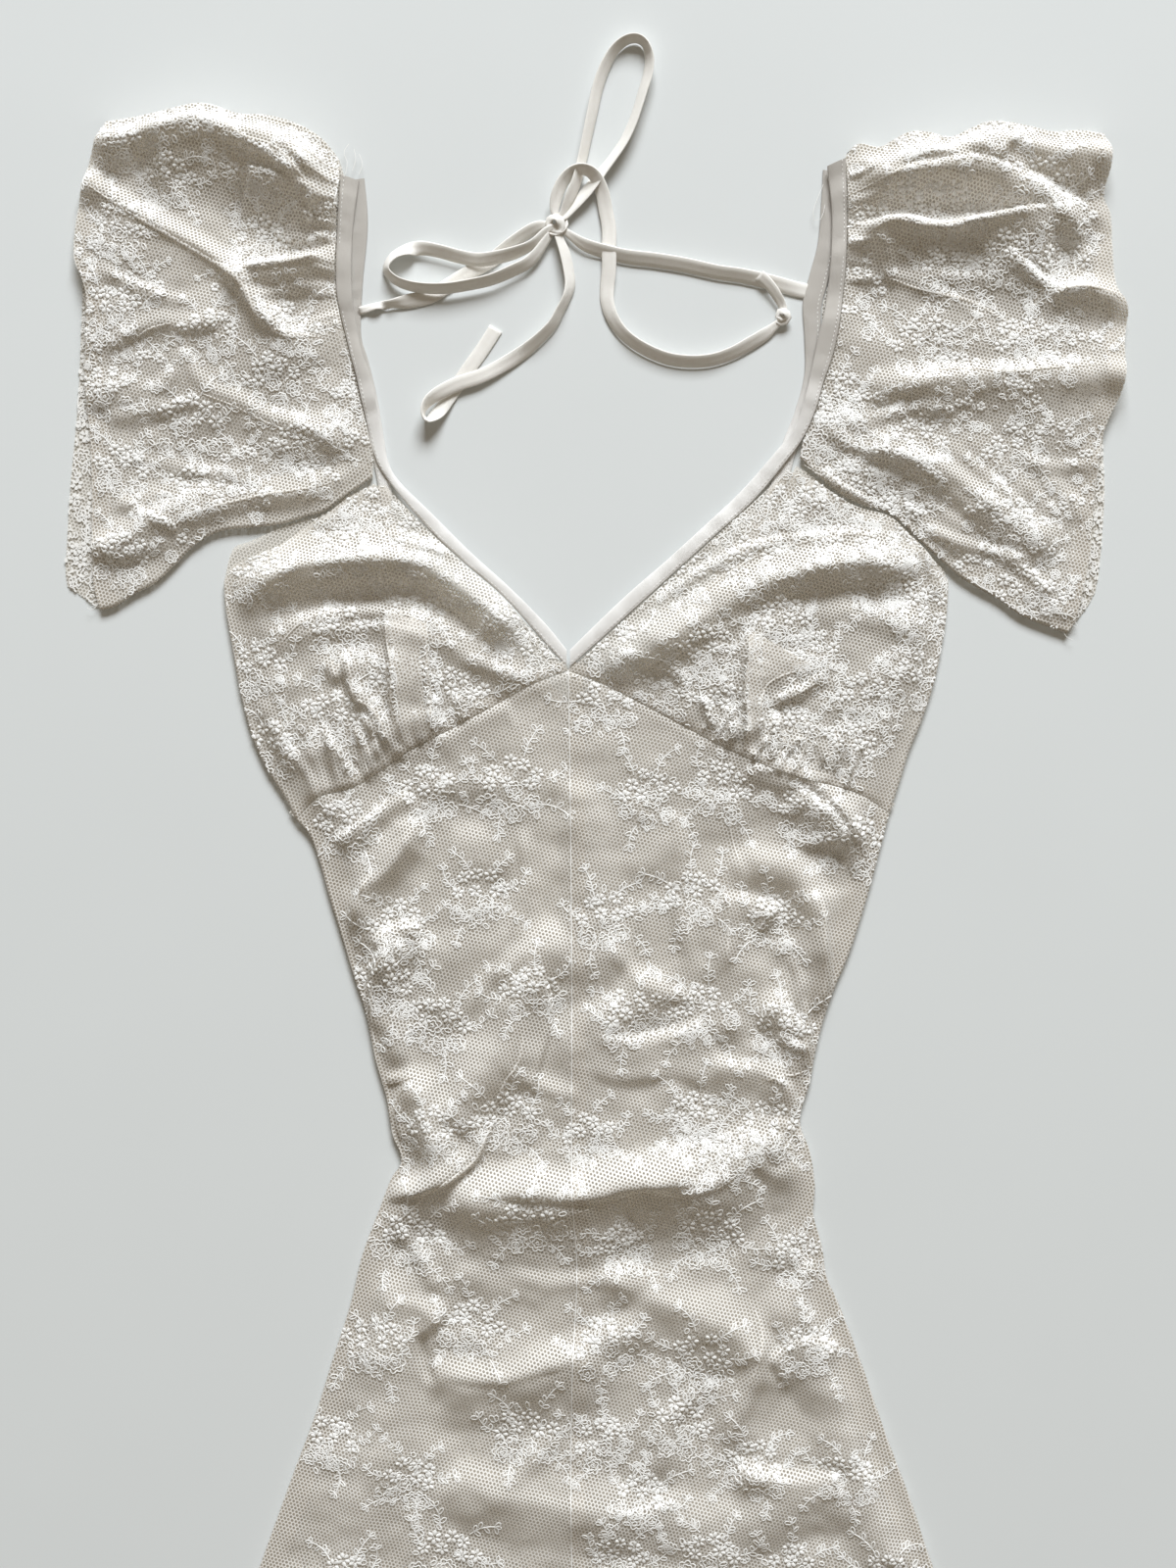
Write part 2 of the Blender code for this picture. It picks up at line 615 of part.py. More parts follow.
def knot(name, place, radius):
    """A pulled knot: a short drum with softened rims."""
    mesh = bmesh.new()
    bmesh.ops.create_cone(
        mesh, cap_ends=True, segments=KNOT_SIDES, radius1=radius * MM, radius2=radius * MM,
        depth=KNOT_HEIGHT * MM,
    )
    rims = [edge for edge in mesh.edges if abs(edge.verts[0].co.z - edge.verts[1].co.z) < MM]
    bmesh.ops.bevel(mesh, geom=rims, offset=1.5 * MM, segments=2, affect="EDGES")
    middle = (place[0] * MM, place[1] * MM, KNOT_HEIGHT / 2 * MM)
    bmesh.ops.translate(mesh, verts=mesh.verts, vec=middle)
    return finish_solid(name, mesh, "tape")


def build_fronts():
    """The two long front panels, joined at the centre front."""
    half_gap = SEAM_GAP / 2
    for side, seam, hem, edge, shift in (
        ("left", BUST_SEAM_LEFT, HEM_LEFT, BODY_SIDE_LEFT, -half_gap),
        ("right", BUST_SEAM_RIGHT, HEM_RIGHT, BODY_SIDE_RIGHT, half_gap),
    ):
        head = shifted(tuple(reversed(seam)), shift, -SEAM_GAP)
        centre = shifted(CENTRE_FRONT, shift)
        near = (head[0],) + edge[1:]
        far = (head[-1],) + centre[1:]
        foot = hem[:-1] + (centre[-1],)
        panel("front_" + side, head, foot, near, far, FRONT_CELLS)


def build_cups():
    """The two bust cups, each from its neck binding to the side and the seam below."""
    for side, table, first, armhole, edge, seam, shift in (
        ("left", FRONT_BINDING_LEFT, 8, CUP_ARMHOLE_LEFT, CUP_SIDE_LEFT, BUST_SEAM_LEFT, -1),
        ("right", FRONT_BINDING_RIGHT, 9, CUP_ARMHOLE_RIGHT, CUP_SIDE_RIGHT, BUST_SEAM_RIGHT, 1),
    ):
        neck = shifted(cloth_side(table, first, len(table) - 1), shift * SEAM_GAP, -SEAM_GAP)
        seam = shifted(seam, shift * SEAM_GAP / 2)
        neck = (armhole[0],) + neck + (seam[0],)
        side_edge = edge[:-1] + (seam[-1],)
        panel("cup_" + side, neck, side_edge, armhole, seam, CUP_CELLS)


def build_sleeves():
    """The two sleeves, each held between its front and its back binding."""
    for side, front, back, head_rows, top, bottom, hem, under_hem, shift in (
        ("left", FRONT_BINDING_LEFT, BACK_BINDING_LEFT, 7, SLEEVE_TOP_LEFT,
         SLEEVE_BOTTOM_LEFT, SLEEVE_HEM_LEFT, SLEEVE_UNDER_HEM_LEFT, -SEAM_GAP),
        ("right", FRONT_BINDING_RIGHT, BACK_BINDING_RIGHT, 8, SLEEVE_TOP_RIGHT,
         SLEEVE_BOTTOM_RIGHT, SLEEVE_HEM_RIGHT, SLEEVE_UNDER_HEM_RIGHT, SEAM_GAP),
    ):
        ends = ((top[0],), (bottom[0],))
        head = ends[0] + shifted(cloth_side(front, 0, head_rows), shift) + ends[1]
        under_head = ends[0] + shifted(cloth_side(back, 0, head_rows), shift) + ends[1]
        sleeve("sleeve_" + side, (head, hem, top, bottom), (under_head, under_hem, top, bottom),
               head)


def build_bindings():
    """The four neck bindings: the back ones lie on the table, the front ones over them."""
    for side, front, back in (
        ("left", FRONT_BINDING_LEFT, BACK_BINDING_LEFT),
        ("right", FRONT_BINDING_RIGHT, BACK_BINDING_RIGHT),
    ):
        binding("binding_front_" + side, front, front_underside)
        binding("binding_back_" + side, back, lambda place: 0)


def build_ties():
    """The two ties, bow and end knot, a node for each stretch that shows."""
    for name, table in (
        ("tie_left", TIE_LEFT),
        ("bow_loop_left", BOW_LOOP_LEFT),
        ("tie_tail_left", TIE_TAIL_LEFT),
        ("tie_tail_left_end", TIE_TAIL_LEFT_END),
        ("tie_right", TIE_RIGHT),
        ("bow_loop_upper", BOW_LOOP_UPPER),
        ("tie_tail_right", TIE_TAIL_RIGHT),
        ("tie_tip_right", TIE_TIP_RIGHT),
    ):
        tape(name, table)
    knot("bow_knot", BOW_KNOT_PLACE, BOW_KNOT_RADIUS)
    knot("tie_end_knot", END_KNOT_PLACE, END_KNOT_RADIUS)


BODY_EDGES = [
    smooth(edge) for edge in (CUP_SIDE_LEFT, CUP_SIDE_RIGHT, BODY_SIDE_LEFT, BODY_SIDE_RIGHT)
]
HEM_TOP = BODY_SIDE_LEFT[-1][1] + HEM_WAVE_REACH

for thing in list(bpy.data.objects):
    bpy.data.objects.remove(thing, do_unlink=True)

back_panel()
build_fronts()
build_cups()
build_sleeves()
build_bindings()
build_ties()
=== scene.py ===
"""The looks of the lace dress: net in its folds, thread lace, bindings, seams and ties.

Tables are in millimetres, as in the part's source, and meshes are made in metres.
+X points to the sleeve on the right, +Y to the neck and +Z up from the table.
"""

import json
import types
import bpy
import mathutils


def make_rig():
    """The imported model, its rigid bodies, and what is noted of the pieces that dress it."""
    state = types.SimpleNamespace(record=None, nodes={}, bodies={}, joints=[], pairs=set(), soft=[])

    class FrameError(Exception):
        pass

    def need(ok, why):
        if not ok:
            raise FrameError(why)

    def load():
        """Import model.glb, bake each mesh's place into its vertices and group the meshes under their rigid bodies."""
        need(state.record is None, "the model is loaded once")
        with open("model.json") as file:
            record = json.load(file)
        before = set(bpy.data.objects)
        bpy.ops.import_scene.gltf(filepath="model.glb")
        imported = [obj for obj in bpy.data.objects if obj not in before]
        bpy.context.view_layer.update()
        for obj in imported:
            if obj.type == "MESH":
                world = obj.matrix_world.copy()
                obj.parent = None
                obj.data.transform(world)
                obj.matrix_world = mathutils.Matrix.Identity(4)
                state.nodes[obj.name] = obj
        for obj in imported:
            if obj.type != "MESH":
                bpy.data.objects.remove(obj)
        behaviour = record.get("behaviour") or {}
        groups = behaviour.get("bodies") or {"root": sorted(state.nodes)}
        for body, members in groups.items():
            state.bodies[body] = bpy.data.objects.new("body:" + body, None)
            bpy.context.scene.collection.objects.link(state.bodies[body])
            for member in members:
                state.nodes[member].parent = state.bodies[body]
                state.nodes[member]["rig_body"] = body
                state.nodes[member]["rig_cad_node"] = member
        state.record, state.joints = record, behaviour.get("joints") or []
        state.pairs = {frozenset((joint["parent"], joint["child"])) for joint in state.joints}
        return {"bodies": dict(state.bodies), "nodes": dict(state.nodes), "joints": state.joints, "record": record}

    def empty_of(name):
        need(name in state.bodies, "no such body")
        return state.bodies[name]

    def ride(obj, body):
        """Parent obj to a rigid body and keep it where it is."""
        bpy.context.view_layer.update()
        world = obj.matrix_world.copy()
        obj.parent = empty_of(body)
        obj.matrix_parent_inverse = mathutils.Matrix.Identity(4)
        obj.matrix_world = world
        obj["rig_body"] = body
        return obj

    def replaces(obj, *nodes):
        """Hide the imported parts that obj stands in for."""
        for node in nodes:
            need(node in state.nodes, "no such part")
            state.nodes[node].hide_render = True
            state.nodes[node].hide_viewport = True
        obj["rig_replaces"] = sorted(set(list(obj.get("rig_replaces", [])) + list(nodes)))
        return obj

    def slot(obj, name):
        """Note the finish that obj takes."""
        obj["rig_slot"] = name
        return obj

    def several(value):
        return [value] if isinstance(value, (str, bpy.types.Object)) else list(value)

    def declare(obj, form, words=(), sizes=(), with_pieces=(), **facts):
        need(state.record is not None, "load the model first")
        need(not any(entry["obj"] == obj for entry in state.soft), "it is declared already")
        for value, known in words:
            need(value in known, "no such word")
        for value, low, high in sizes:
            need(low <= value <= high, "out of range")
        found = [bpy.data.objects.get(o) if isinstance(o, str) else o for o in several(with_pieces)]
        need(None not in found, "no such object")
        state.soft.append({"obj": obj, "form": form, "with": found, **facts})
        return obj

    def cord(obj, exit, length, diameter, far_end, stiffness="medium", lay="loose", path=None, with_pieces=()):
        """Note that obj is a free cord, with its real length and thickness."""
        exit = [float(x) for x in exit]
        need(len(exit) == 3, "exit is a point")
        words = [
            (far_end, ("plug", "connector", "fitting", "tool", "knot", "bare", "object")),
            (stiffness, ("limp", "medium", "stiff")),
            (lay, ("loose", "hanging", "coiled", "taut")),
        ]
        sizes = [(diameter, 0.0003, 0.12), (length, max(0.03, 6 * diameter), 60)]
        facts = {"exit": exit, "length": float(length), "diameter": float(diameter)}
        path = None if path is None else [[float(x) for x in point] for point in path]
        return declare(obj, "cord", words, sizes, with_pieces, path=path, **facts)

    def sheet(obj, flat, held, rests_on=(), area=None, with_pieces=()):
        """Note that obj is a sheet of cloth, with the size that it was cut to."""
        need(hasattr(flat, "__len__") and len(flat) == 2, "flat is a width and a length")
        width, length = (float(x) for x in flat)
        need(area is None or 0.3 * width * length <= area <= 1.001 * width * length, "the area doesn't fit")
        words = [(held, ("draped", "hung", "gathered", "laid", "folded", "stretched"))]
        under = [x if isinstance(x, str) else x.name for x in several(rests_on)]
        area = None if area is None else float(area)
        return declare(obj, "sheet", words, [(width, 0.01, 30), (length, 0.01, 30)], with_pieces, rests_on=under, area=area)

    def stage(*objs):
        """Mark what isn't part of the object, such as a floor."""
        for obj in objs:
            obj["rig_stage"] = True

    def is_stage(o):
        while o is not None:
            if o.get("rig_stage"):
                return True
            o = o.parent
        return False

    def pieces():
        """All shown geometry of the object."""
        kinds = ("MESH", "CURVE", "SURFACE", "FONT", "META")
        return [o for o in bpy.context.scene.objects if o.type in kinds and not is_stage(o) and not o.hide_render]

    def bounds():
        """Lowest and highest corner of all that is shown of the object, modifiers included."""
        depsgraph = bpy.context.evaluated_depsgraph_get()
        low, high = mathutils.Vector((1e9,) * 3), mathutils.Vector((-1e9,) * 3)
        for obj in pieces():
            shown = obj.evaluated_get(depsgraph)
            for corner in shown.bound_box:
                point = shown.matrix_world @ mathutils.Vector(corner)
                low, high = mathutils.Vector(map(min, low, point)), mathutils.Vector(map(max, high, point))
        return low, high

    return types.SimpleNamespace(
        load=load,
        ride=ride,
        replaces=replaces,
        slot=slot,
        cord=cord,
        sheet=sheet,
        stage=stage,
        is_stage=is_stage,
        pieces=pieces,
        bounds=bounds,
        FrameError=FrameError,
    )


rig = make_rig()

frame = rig.load()

import json
import math
import random

import bmesh
import bpy
import numpy as np

CAD_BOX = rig.bounds()
MM = 0.001

# Sizes of the solids, from the part's source
CLOTH = 1.2
BINDING = 1.6
FRONT_FLOOR = 1.9
FRONT_EASE = 1.4
SLEEVE_EASE = 0.8
EDGE_SOFT = 22
SLEEVE_EDGE_SOFT = 24
HEM_WAVE = 3.5
HEM_WAVE_LENGTH = 96
HEM_WAVE_REACH = 330
SEAM_GAP = 0.5

# Binding strips: neck side x and y, then cloth side x and y, from the shoulder down
FRONT_BINDING_LEFT = (
    (-142, 566, -153, 570),
    (-146, 534, -155, 535),
    (-146, 498, -155, 499),
    (-141, 467, -148, 467),
    (-135, 449, -143, 448),
    (-130, 425, -138, 425),
    (-126, 404, -133, 404),
    (-119, 389, -125, 389),
    (-97, 367, -102, 361),
    (-76, 346, -80, 340),
    (-53, 325, -57, 320),
    (-32, 304, -37, 298),
    (-19, 288, -19, 278),
)
FRONT_BINDING_RIGHT = (
    (135, 574, 146, 579),
    (138, 545, 147, 544),
    (137, 515, 146, 515),
    (134, 491, 143, 487),
    (130, 474, 139, 465),
    (126, 455, 133, 447),
    (122, 438, 128, 430),
    (116, 420, 121, 414),
    (106, 407, 111, 400),
    (85, 383, 91, 376),
    (63, 362, 69, 356),
    (40, 341, 46, 335),
    (17, 321, 23, 314),
    (-3, 302, 2, 295),
    (-17, 288, -17, 278),
)
BACK_BINDING_LEFT = (
    (-139, 568, -150, 566),
    (-137, 541, -150, 539),
    (-140, 506, -151, 505),
    (-141, 476, -150, 474),
    (-137, 461, -147, 457),
    (-132, 441, -140, 438),
    (-127, 412, -135, 409),
    (-123, 383, -130, 381),
    (-117, 354, -124, 348),
    (-96, 331, -103, 324),
    (-73, 312, -79, 304),
    (-52, 292, -58, 284),
    (-18, 258, -18, 245),
)
BACK_BINDING_RIGHT = (
    (133, 573, 143, 571),
    (132, 554, 143, 550),
    (130, 530, 141, 528),
    (125, 511, 136, 507),
    (121, 494, 132, 491),
    (122, 474, 132, 472),
    (122, 452, 130, 449),
    (116, 429, 124, 426),
    (109, 411, 117, 407),
    (103, 389, 111, 385),
    (89, 362, 97, 356),
    (72, 339, 79, 332),
    (52, 309, 59, 301),
    (26, 285, 31, 277),
    (-17, 257, -17, 244),
)

# Curved seam under the bust, from the centre front to the side
BUST_SEAM_LEFT = (
    (-18, 276), (-41, 267), (-64, 254), (-88, 241), (-111, 229), (-125, 219),
    (-139, 210), (-151, 205), (-166, 201), (-179, 188),
)
BUST_SEAM_RIGHT = (
    (-18, 276), (5, 267), (28, 255), (52, 242), (75, 230), (98, 220),
    (121, 212), (139, 208), (156, 202), (172, 192),
)

# Armhole edge of each cup, from the neck binding to the underarm
CUP_ARMHOLE_LEFT = (
    (-126, 385), (-136, 385), (-150, 377), (-162, 368), (-175, 360), (-188, 350),
    (-205, 343), (-216, 338), (-222, 329),
)
CUP_ARMHOLE_RIGHT = (
    (111, 394), (119, 392), (130, 387), (143, 378), (155, 372), (172, 367),
    (183, 357), (194, 346), (207, 329),
)

# Side of each cup, from the underarm down to the seam under the bust
CUP_SIDE_LEFT = (
    (-222, 329), (-221, 313), (-217, 290), (-213, 267), (-208, 246), (-202, 229),
    (-195, 215), (-186, 201), (-179, 188),
)
CUP_SIDE_RIGHT = (
    (207, 329), (206, 310), (203, 290), (198, 267), (191, 246), (184, 229),
    (178, 210), (172, 192),
)

# Side seams of the skirt, from the seam under the bust to the hem
BODY_SIDE_LEFT = (
    (-179, 188), (-171, 178), (-165, 162), (-160, 144), (-152, 118), (-146, 98),
    (-139, 77), (-135, 59), (-132, 44), (-126, 24), (-123, 6), (-117, -14),
    (-123, -25), (-130, -43), (-140, -70), (-147, -99), (-157, -130), (-167, -162),
    (-180, -197), (-188, -219), (-201, -255), (-240, -365), (-324, -592),
)
BODY_SIDE_RIGHT = (
    (172, 192), (168, 176), (162, 153), (155, 129), (148, 108), (140, 89),
    (133, 69), (128, 49), (125, 32), (119, 10), (125, -9), (128, -29),
    (127, -46), (132, -64), (135, -83), (142, -99), (154, -130), (165, -162),
    (171, -179), (186, -219), (198, -255), (239, -365), (324, -592),
)
CENTRE_FRONT = (
    (-18, 276), (-17, 209), (-16, 93), (-16, -23), (-13, -81), (-16, -151),
    (-16, -255), (-11, -429), (-6, -612),
)
HEM_LEFT = ((-324, -592), (-221, -603), (-111, -610), (-6, -612))
HEM_RIGHT = ((324, -592), (220, -603), (110, -610), (-6, -612))

# Armhole of the back, from its neck binding to the underarm
BACK_ARMHOLE_LEFT = (
    (-133, 387), (-139, 383), (-150, 379), (-162, 369), (-175, 365), (-188, 361),
    (-206, 353), (-216, 349), (-220, 339),
)
BACK_ARMHOLE_RIGHT = (
    (116, 398), (127, 391), (142, 379), (156, 372), (172, 367), (185, 357),
    (195, 346), (204, 336),
)

# Sleeve outlines: fold edges run from the head to the hem, hems from the top to the bottom
SLEEVE_TOP_LEFT = (
    (-154, 579), (-164, 591), (-179, 600), (-197, 605), (-214, 606), (-228, 611),
    (-240, 612), (-257, 608), (-274, 604), (-292, 601),
)
SLEEVE_BOTTOM_LEFT = (
    (-134, 391), (-141, 386), (-150, 380), (-162, 371), (-175, 367), (-188, 363),
    (-205, 361), (-218, 360), (-229, 357), (-240, 350), (-252, 338), (-263, 328),
    (-276, 321), (-287, 314), (-295, 312),
)
SLEEVE_HEM_LEFT = (
    (-292, 601), (-298, 588), (-305, 564), (-310, 536), (-310, 519), (-306, 509), (-303, 498),
    (-303, 476), (-304, 455), (-303, 433), (-301, 412), (-300, 380), (-300, 347), (-299, 327),
    (-295, 312),
)
SLEEVE_UNDER_HEM_LEFT = (
    (-292, 601), (-296, 586), (-301, 564), (-304, 536), (-306, 505), (-307, 476), (-309, 433),
    (-313, 390), (-315, 358), (-316, 329), (-309, 322), (-295, 312),
)
SLEEVE_TOP_RIGHT = (
    (147, 582), (154, 588), (166, 586), (174, 590), (184, 595), (195, 595),
    (208, 592), (220, 597), (230, 601), (242, 601), (257, 598), (270, 595),
    (284, 596), (299, 594),
)
SLEEVE_BOTTOM_RIGHT = (
    (119, 402), (128, 393), (142, 381), (156, 374), (172, 369), (185, 358),
    (195, 348), (205, 339), (213, 332), (224, 325), (237, 318), (249, 309),
    (263, 303), (277, 298),
)
SLEEVE_HEM_RIGHT = (
    (299, 594), (302, 586), (302, 573), (299, 558), (303, 545), (304, 525),
    (306, 503), (311, 495), (313, 486), (311, 470), (311, 453), (308, 438),
    (303, 428), (299, 418), (297, 408), (295, 394), (293, 376), (291, 346),
    (287, 325), (282, 306), (277, 298),
)
SLEEVE_UNDER_HEM_RIGHT = (
    (299, 594), (299, 577), (297, 558), (299, 525), (302, 499), (306, 470),
    (303, 441), (299, 412), (300, 383), (298, 350), (295, 325), (289, 313),
    (277, 298),
)

# Main ridges of the front: half width, height, then the places each one runs through.
# The two at the waist lie 3 to 7 mm nearer the hem than the solids' ridges.
FRONT_RIDGES = (
    (13, 13, ((-78, -36), (-47, -32), (-12, -34), (17, -27), (46, -22))),
    (14, 13, ((46, -22), (69, -20), (92, -9), (118, 2))),
    (14, 11, ((-108, 23), (-104, 3), (-95, -13), (-105, -28), (-121, -36))),
    (13, 10, ((-30, 111), (-47, 93), (-52, 64), (-64, 41), (-82, 17))),
    (10, 8, ((-115, 180), (-131, 157), (-141, 136), (-143, 121))),
    (9, 9, ((-122, 113), (-129, 93), (-129, 72), (-125, 52))),
    (8, 7, ((92, 215), (121, 208), (144, 188), (158, 164))),
    (10, 9, ((92, 162), (117, 155), (128, 133), (130, 102), (128, 81))),
    (9, 8, ((104, 75), (118, 61), (121, 42))),
    (9, 8, ((105, 32), (114, 14), (120, -6))),
    (11, 5, ((78, 130), (79, 102), (76, 70))),
    (12, 5, ((28, 87), (5, 70), (-18, 58))),
    (12, 4, ((-76, 174), (-82, 128), (-93, 81))),
    (12, 5, ((-12, 197), (-6, 151), (-12, 104))),
    (14, 9, ((-122, -99), (-124, -139), (-131, -186), (-144, -238), (-166, -325))),
    (11, 6, ((-90, -142), (-61, -144), (-30, -136), (-1, -125), (23, -110))),
    (12, 6, ((17, -87), (52, -99), (78, -110), (93, -133), (82, -168))),
    (13, 7, ((110, -104), (130, -139), (147, -186), (171, -244))),
    (14, 6, ((-82, -209), (-30, -217), (23, -226), (75, -229), (115, -215))),
    (16, 8, ((-64, -313), (-82, -400), (-105, -493), (-125, -592))),
    (16, 8, ((23, -302), (34, -400), (46, -493), (59, -603))),
    (16, 8, ((133, -313), (162, -406), (194, -505), (217, -586))),
    (15, 7, ((-186, -325), (-215, -418), (-244, -516), (-262, -586))),
)

# Main ridges of the cups. The first of each lies 9 to 17 mm nearer the hem than the solids' ridge.
CUP_RIDGES = (
    (12, 10, ((-209, 322), (-180, 333), (-128, 342), (-93, 331), (-64, 308))),
    (11, 8, ((-186, 295), (-154, 304), (-122, 307), (-90, 296), (-56, 273))),
    (70, 7, ((-154, 273), (-105, 284))),
    (6, 6, ((-170, 204), (-170, 232), (-175, 255))),
    (6, 6, ((-151, 211), (-154, 244), (-157, 273))),
    (6, 7, ((-135, 217), (-139, 249), (-144, 284))),
    (6, 7, ((-118, 229), (-120, 261), (-124, 302))),
    (6, 7, ((-99, 238), (-99, 267), (-103, 296))),
    (6, 6, ((-78, 249), (-79, 273), (-84, 288))),
    (12, 10, ((17, 284), (52, 303), (86, 321), (121, 333), (176, 337))),
    (11, 8, ((95, 299), (144, 310), (185, 302))),
    (70, 7, ((92, 278), (144, 278))),
    (6, 5, ((52, 248), (49, 267), (45, 284))),
    (6, 6, ((74, 237), (72, 261), (70, 290))),
    (6, 7, ((88, 227), (85, 261), (88, 295))),
    (6, 7, ((100, 225), (96, 255), (99, 284))),
    (6, 6, ((117, 219), (110, 244), (113, 267))),
    (6, 5, ((136, 213), (134, 238), (139, 267))),
)

# Main ridges of the sleeves. Some are lower than the solids' ridges: the left sleeve's diagonal
# one is 8 mm high for the solid's 18 mm.
SLEEVE_RIDGES = (
    (8, 8, ((-299, 562), (-279, 546), (-254, 532), (-228, 516), (-208, 499), (-200, 484), (-184, 472))),
    (13, 18, ((-285, 592), (-256, 600), (-230, 602), (-204, 590), (-180, 575), (-160, 557))),
    (8, 12, ((-215, 509), (-186, 512), (-157, 519))),
    (50, 9, ((-256, 499), (-230, 481))),
    (10, 10, ((-202, 600), (-180, 589), (-160, 571))),
    (11, 6, ((-291, 444), (-238, 438), (-186, 418), (-151, 418))),
    (10, 7, ((-291, 348), (-244, 371), (-198, 378), (-151, 383))),
    (12, 8, ((-186, 473), (-169, 470), (-154, 476))),
    (14, 15, ((159, 573), (197, 582), (231, 587), (260, 585), (292, 581))),
    (11, 13, ((151, 559), (179, 565), (214, 566), (243, 561), (275, 544))),
    (8, 9, ((151, 529), (182, 539), (202, 535), (231, 541), (260, 538))),
    (8, 2.5, ((160, 511), (190, 501), (222, 491), (252, 475))),
    (9, 7, ((266, 497), (286, 501), (308, 493))),
    (10, 9, ((168, 445), (214, 447), (260, 450), (306, 451))),
    (50, 6, ((197, 464), (260, 464))),
    (10, 7, ((168, 409), (202, 394), (231, 371), (260, 355))),
    (9, 5, ((202, 348), (237, 325), (272, 306))),
)

# Creases finer than the solids' ridges: height, reach on the left and right of the route
# as one walks along it, half width of a flat top, then the places it runs through
FRONT_CREASES = (
    (4, 14, 3, 0, ((-105, 191), (-122, 162), (-143, 144), (-147, 117))),
    (4, 10, 3, 0, ((-126, 117), (-132, 102), (-135, 91), (-135, 72), (-130, 58))),
    (3, 5, 3, 0, ((-128, 32), (-117, 35), (-108, 37))),
    (3, 10, 3, 0, ((-110, 36), (-117, 25), (-121, 8), (-116, -6))),
    (6, 3, 12, 0, ((-60, 12), (-66, 2), (-72, -11), (-82, -20), (-99, -29), (-131, -38))),
    (3, 9, 9, 0, ((-36, 118), (-50, 106), (-66, 91), (-78, 70))),
    (4, 3, 14, 0, ((-38, 104), (-31, 86), (-29, 68), (-36, 42), (-41, 20))),
    (4, 12, 4, 0, ((86, 218), (108, 217), (127, 209), (142, 196), (152, 180), (159, 162))),
    (-4, 9, 9, 8, ((132, 176), (134, 158), (137, 142))),
    (5, 3, 12, 0, ((126, 150), (131, 138), (134, 120), (136, 100), (135, 84), (132, 68))),
    (4, 3, 10, 0, ((121, 84), (124, 62), (126, 36))),
    (2.5, 3, 3, 0, ((94, 37), (104, 35), (114, 28))),
    (3.5, 3, 8, 0, ((112, 34), (116, 18), (119, 2))),
    (3, 10, 3, 0, ((22, -24), (38, -30), (54, -31), (68, -27), (82, -19))),
    (5, 14, 5, 0, ((-80, -32), (-47, -32), (-12, -34), (17, -29), (44, -25), (70, -24))),
    (-2, 14, 14, 6, ((-70, -58), (-20, -60), (30, -60), (80, -54), (110, -48))),
    (-3, 4, 4, 1, ((-104, -113), (-105, -124), (-102, -136), (-98, -148))),
    (3.5, 12, 4, 0, ((-96, -138), (-78, -142), (-55, -142), (-28, -134), (-8, -128))),
    (3, 9, 4, 0, ((90, -96), (95, -112), (95, -130), (88, -152), (80, -176))),
    (3, 9, 6, 0, ((-46, 186), (-44, 150), (-52, 118))),
    (2.5, 8, 8, 0, ((44, 196), (50, 168), (48, 132), (56, 96))),
    (2.5, 7, 10, 0, ((74, 178), (84, 150), (80, 118), (70, 92))),
    (2, 8, 8, 0, ((6, 120), (20, 96), (44, 84), (66, 84))),
    (2, 10, 6, 0, ((-8, 40), (18, 34), (44, 38), (70, 30))),
    (2, 8, 6, 0, ((-60, 44), (-36, 30), (-10, 22))),
    (2.5, 6, 4, 0, ((112, 108), (118, 92), (114, 74))),
    (2.5, 5, 5, 0, ((104, 62), (116, 54), (126, 52))),
    (2, 5, 5, 0, ((100, 12), (112, 6), (122, -4))),
    (2, 8, 8, 0, ((-60, -78), (-30, -86), (4, -84), (30, -92))),
    (2.5, 8, 8, 0, ((-120, -52), (-104, -72), (-96, -96))),
    (2.5, 10, 8, 0, ((60, -146), (40, -170), (36, -206))),
    (2, 10, 10, 0, ((-20, -160), (-34, -188), (-60, -208))),
    (2.5, 8, 8, 0, ((128, -70), (120, -92), (126, -118))),
    (3, 10, 6, 0, ((-60, -262), (-20, -270), (26, -262), (66, -272))),
)
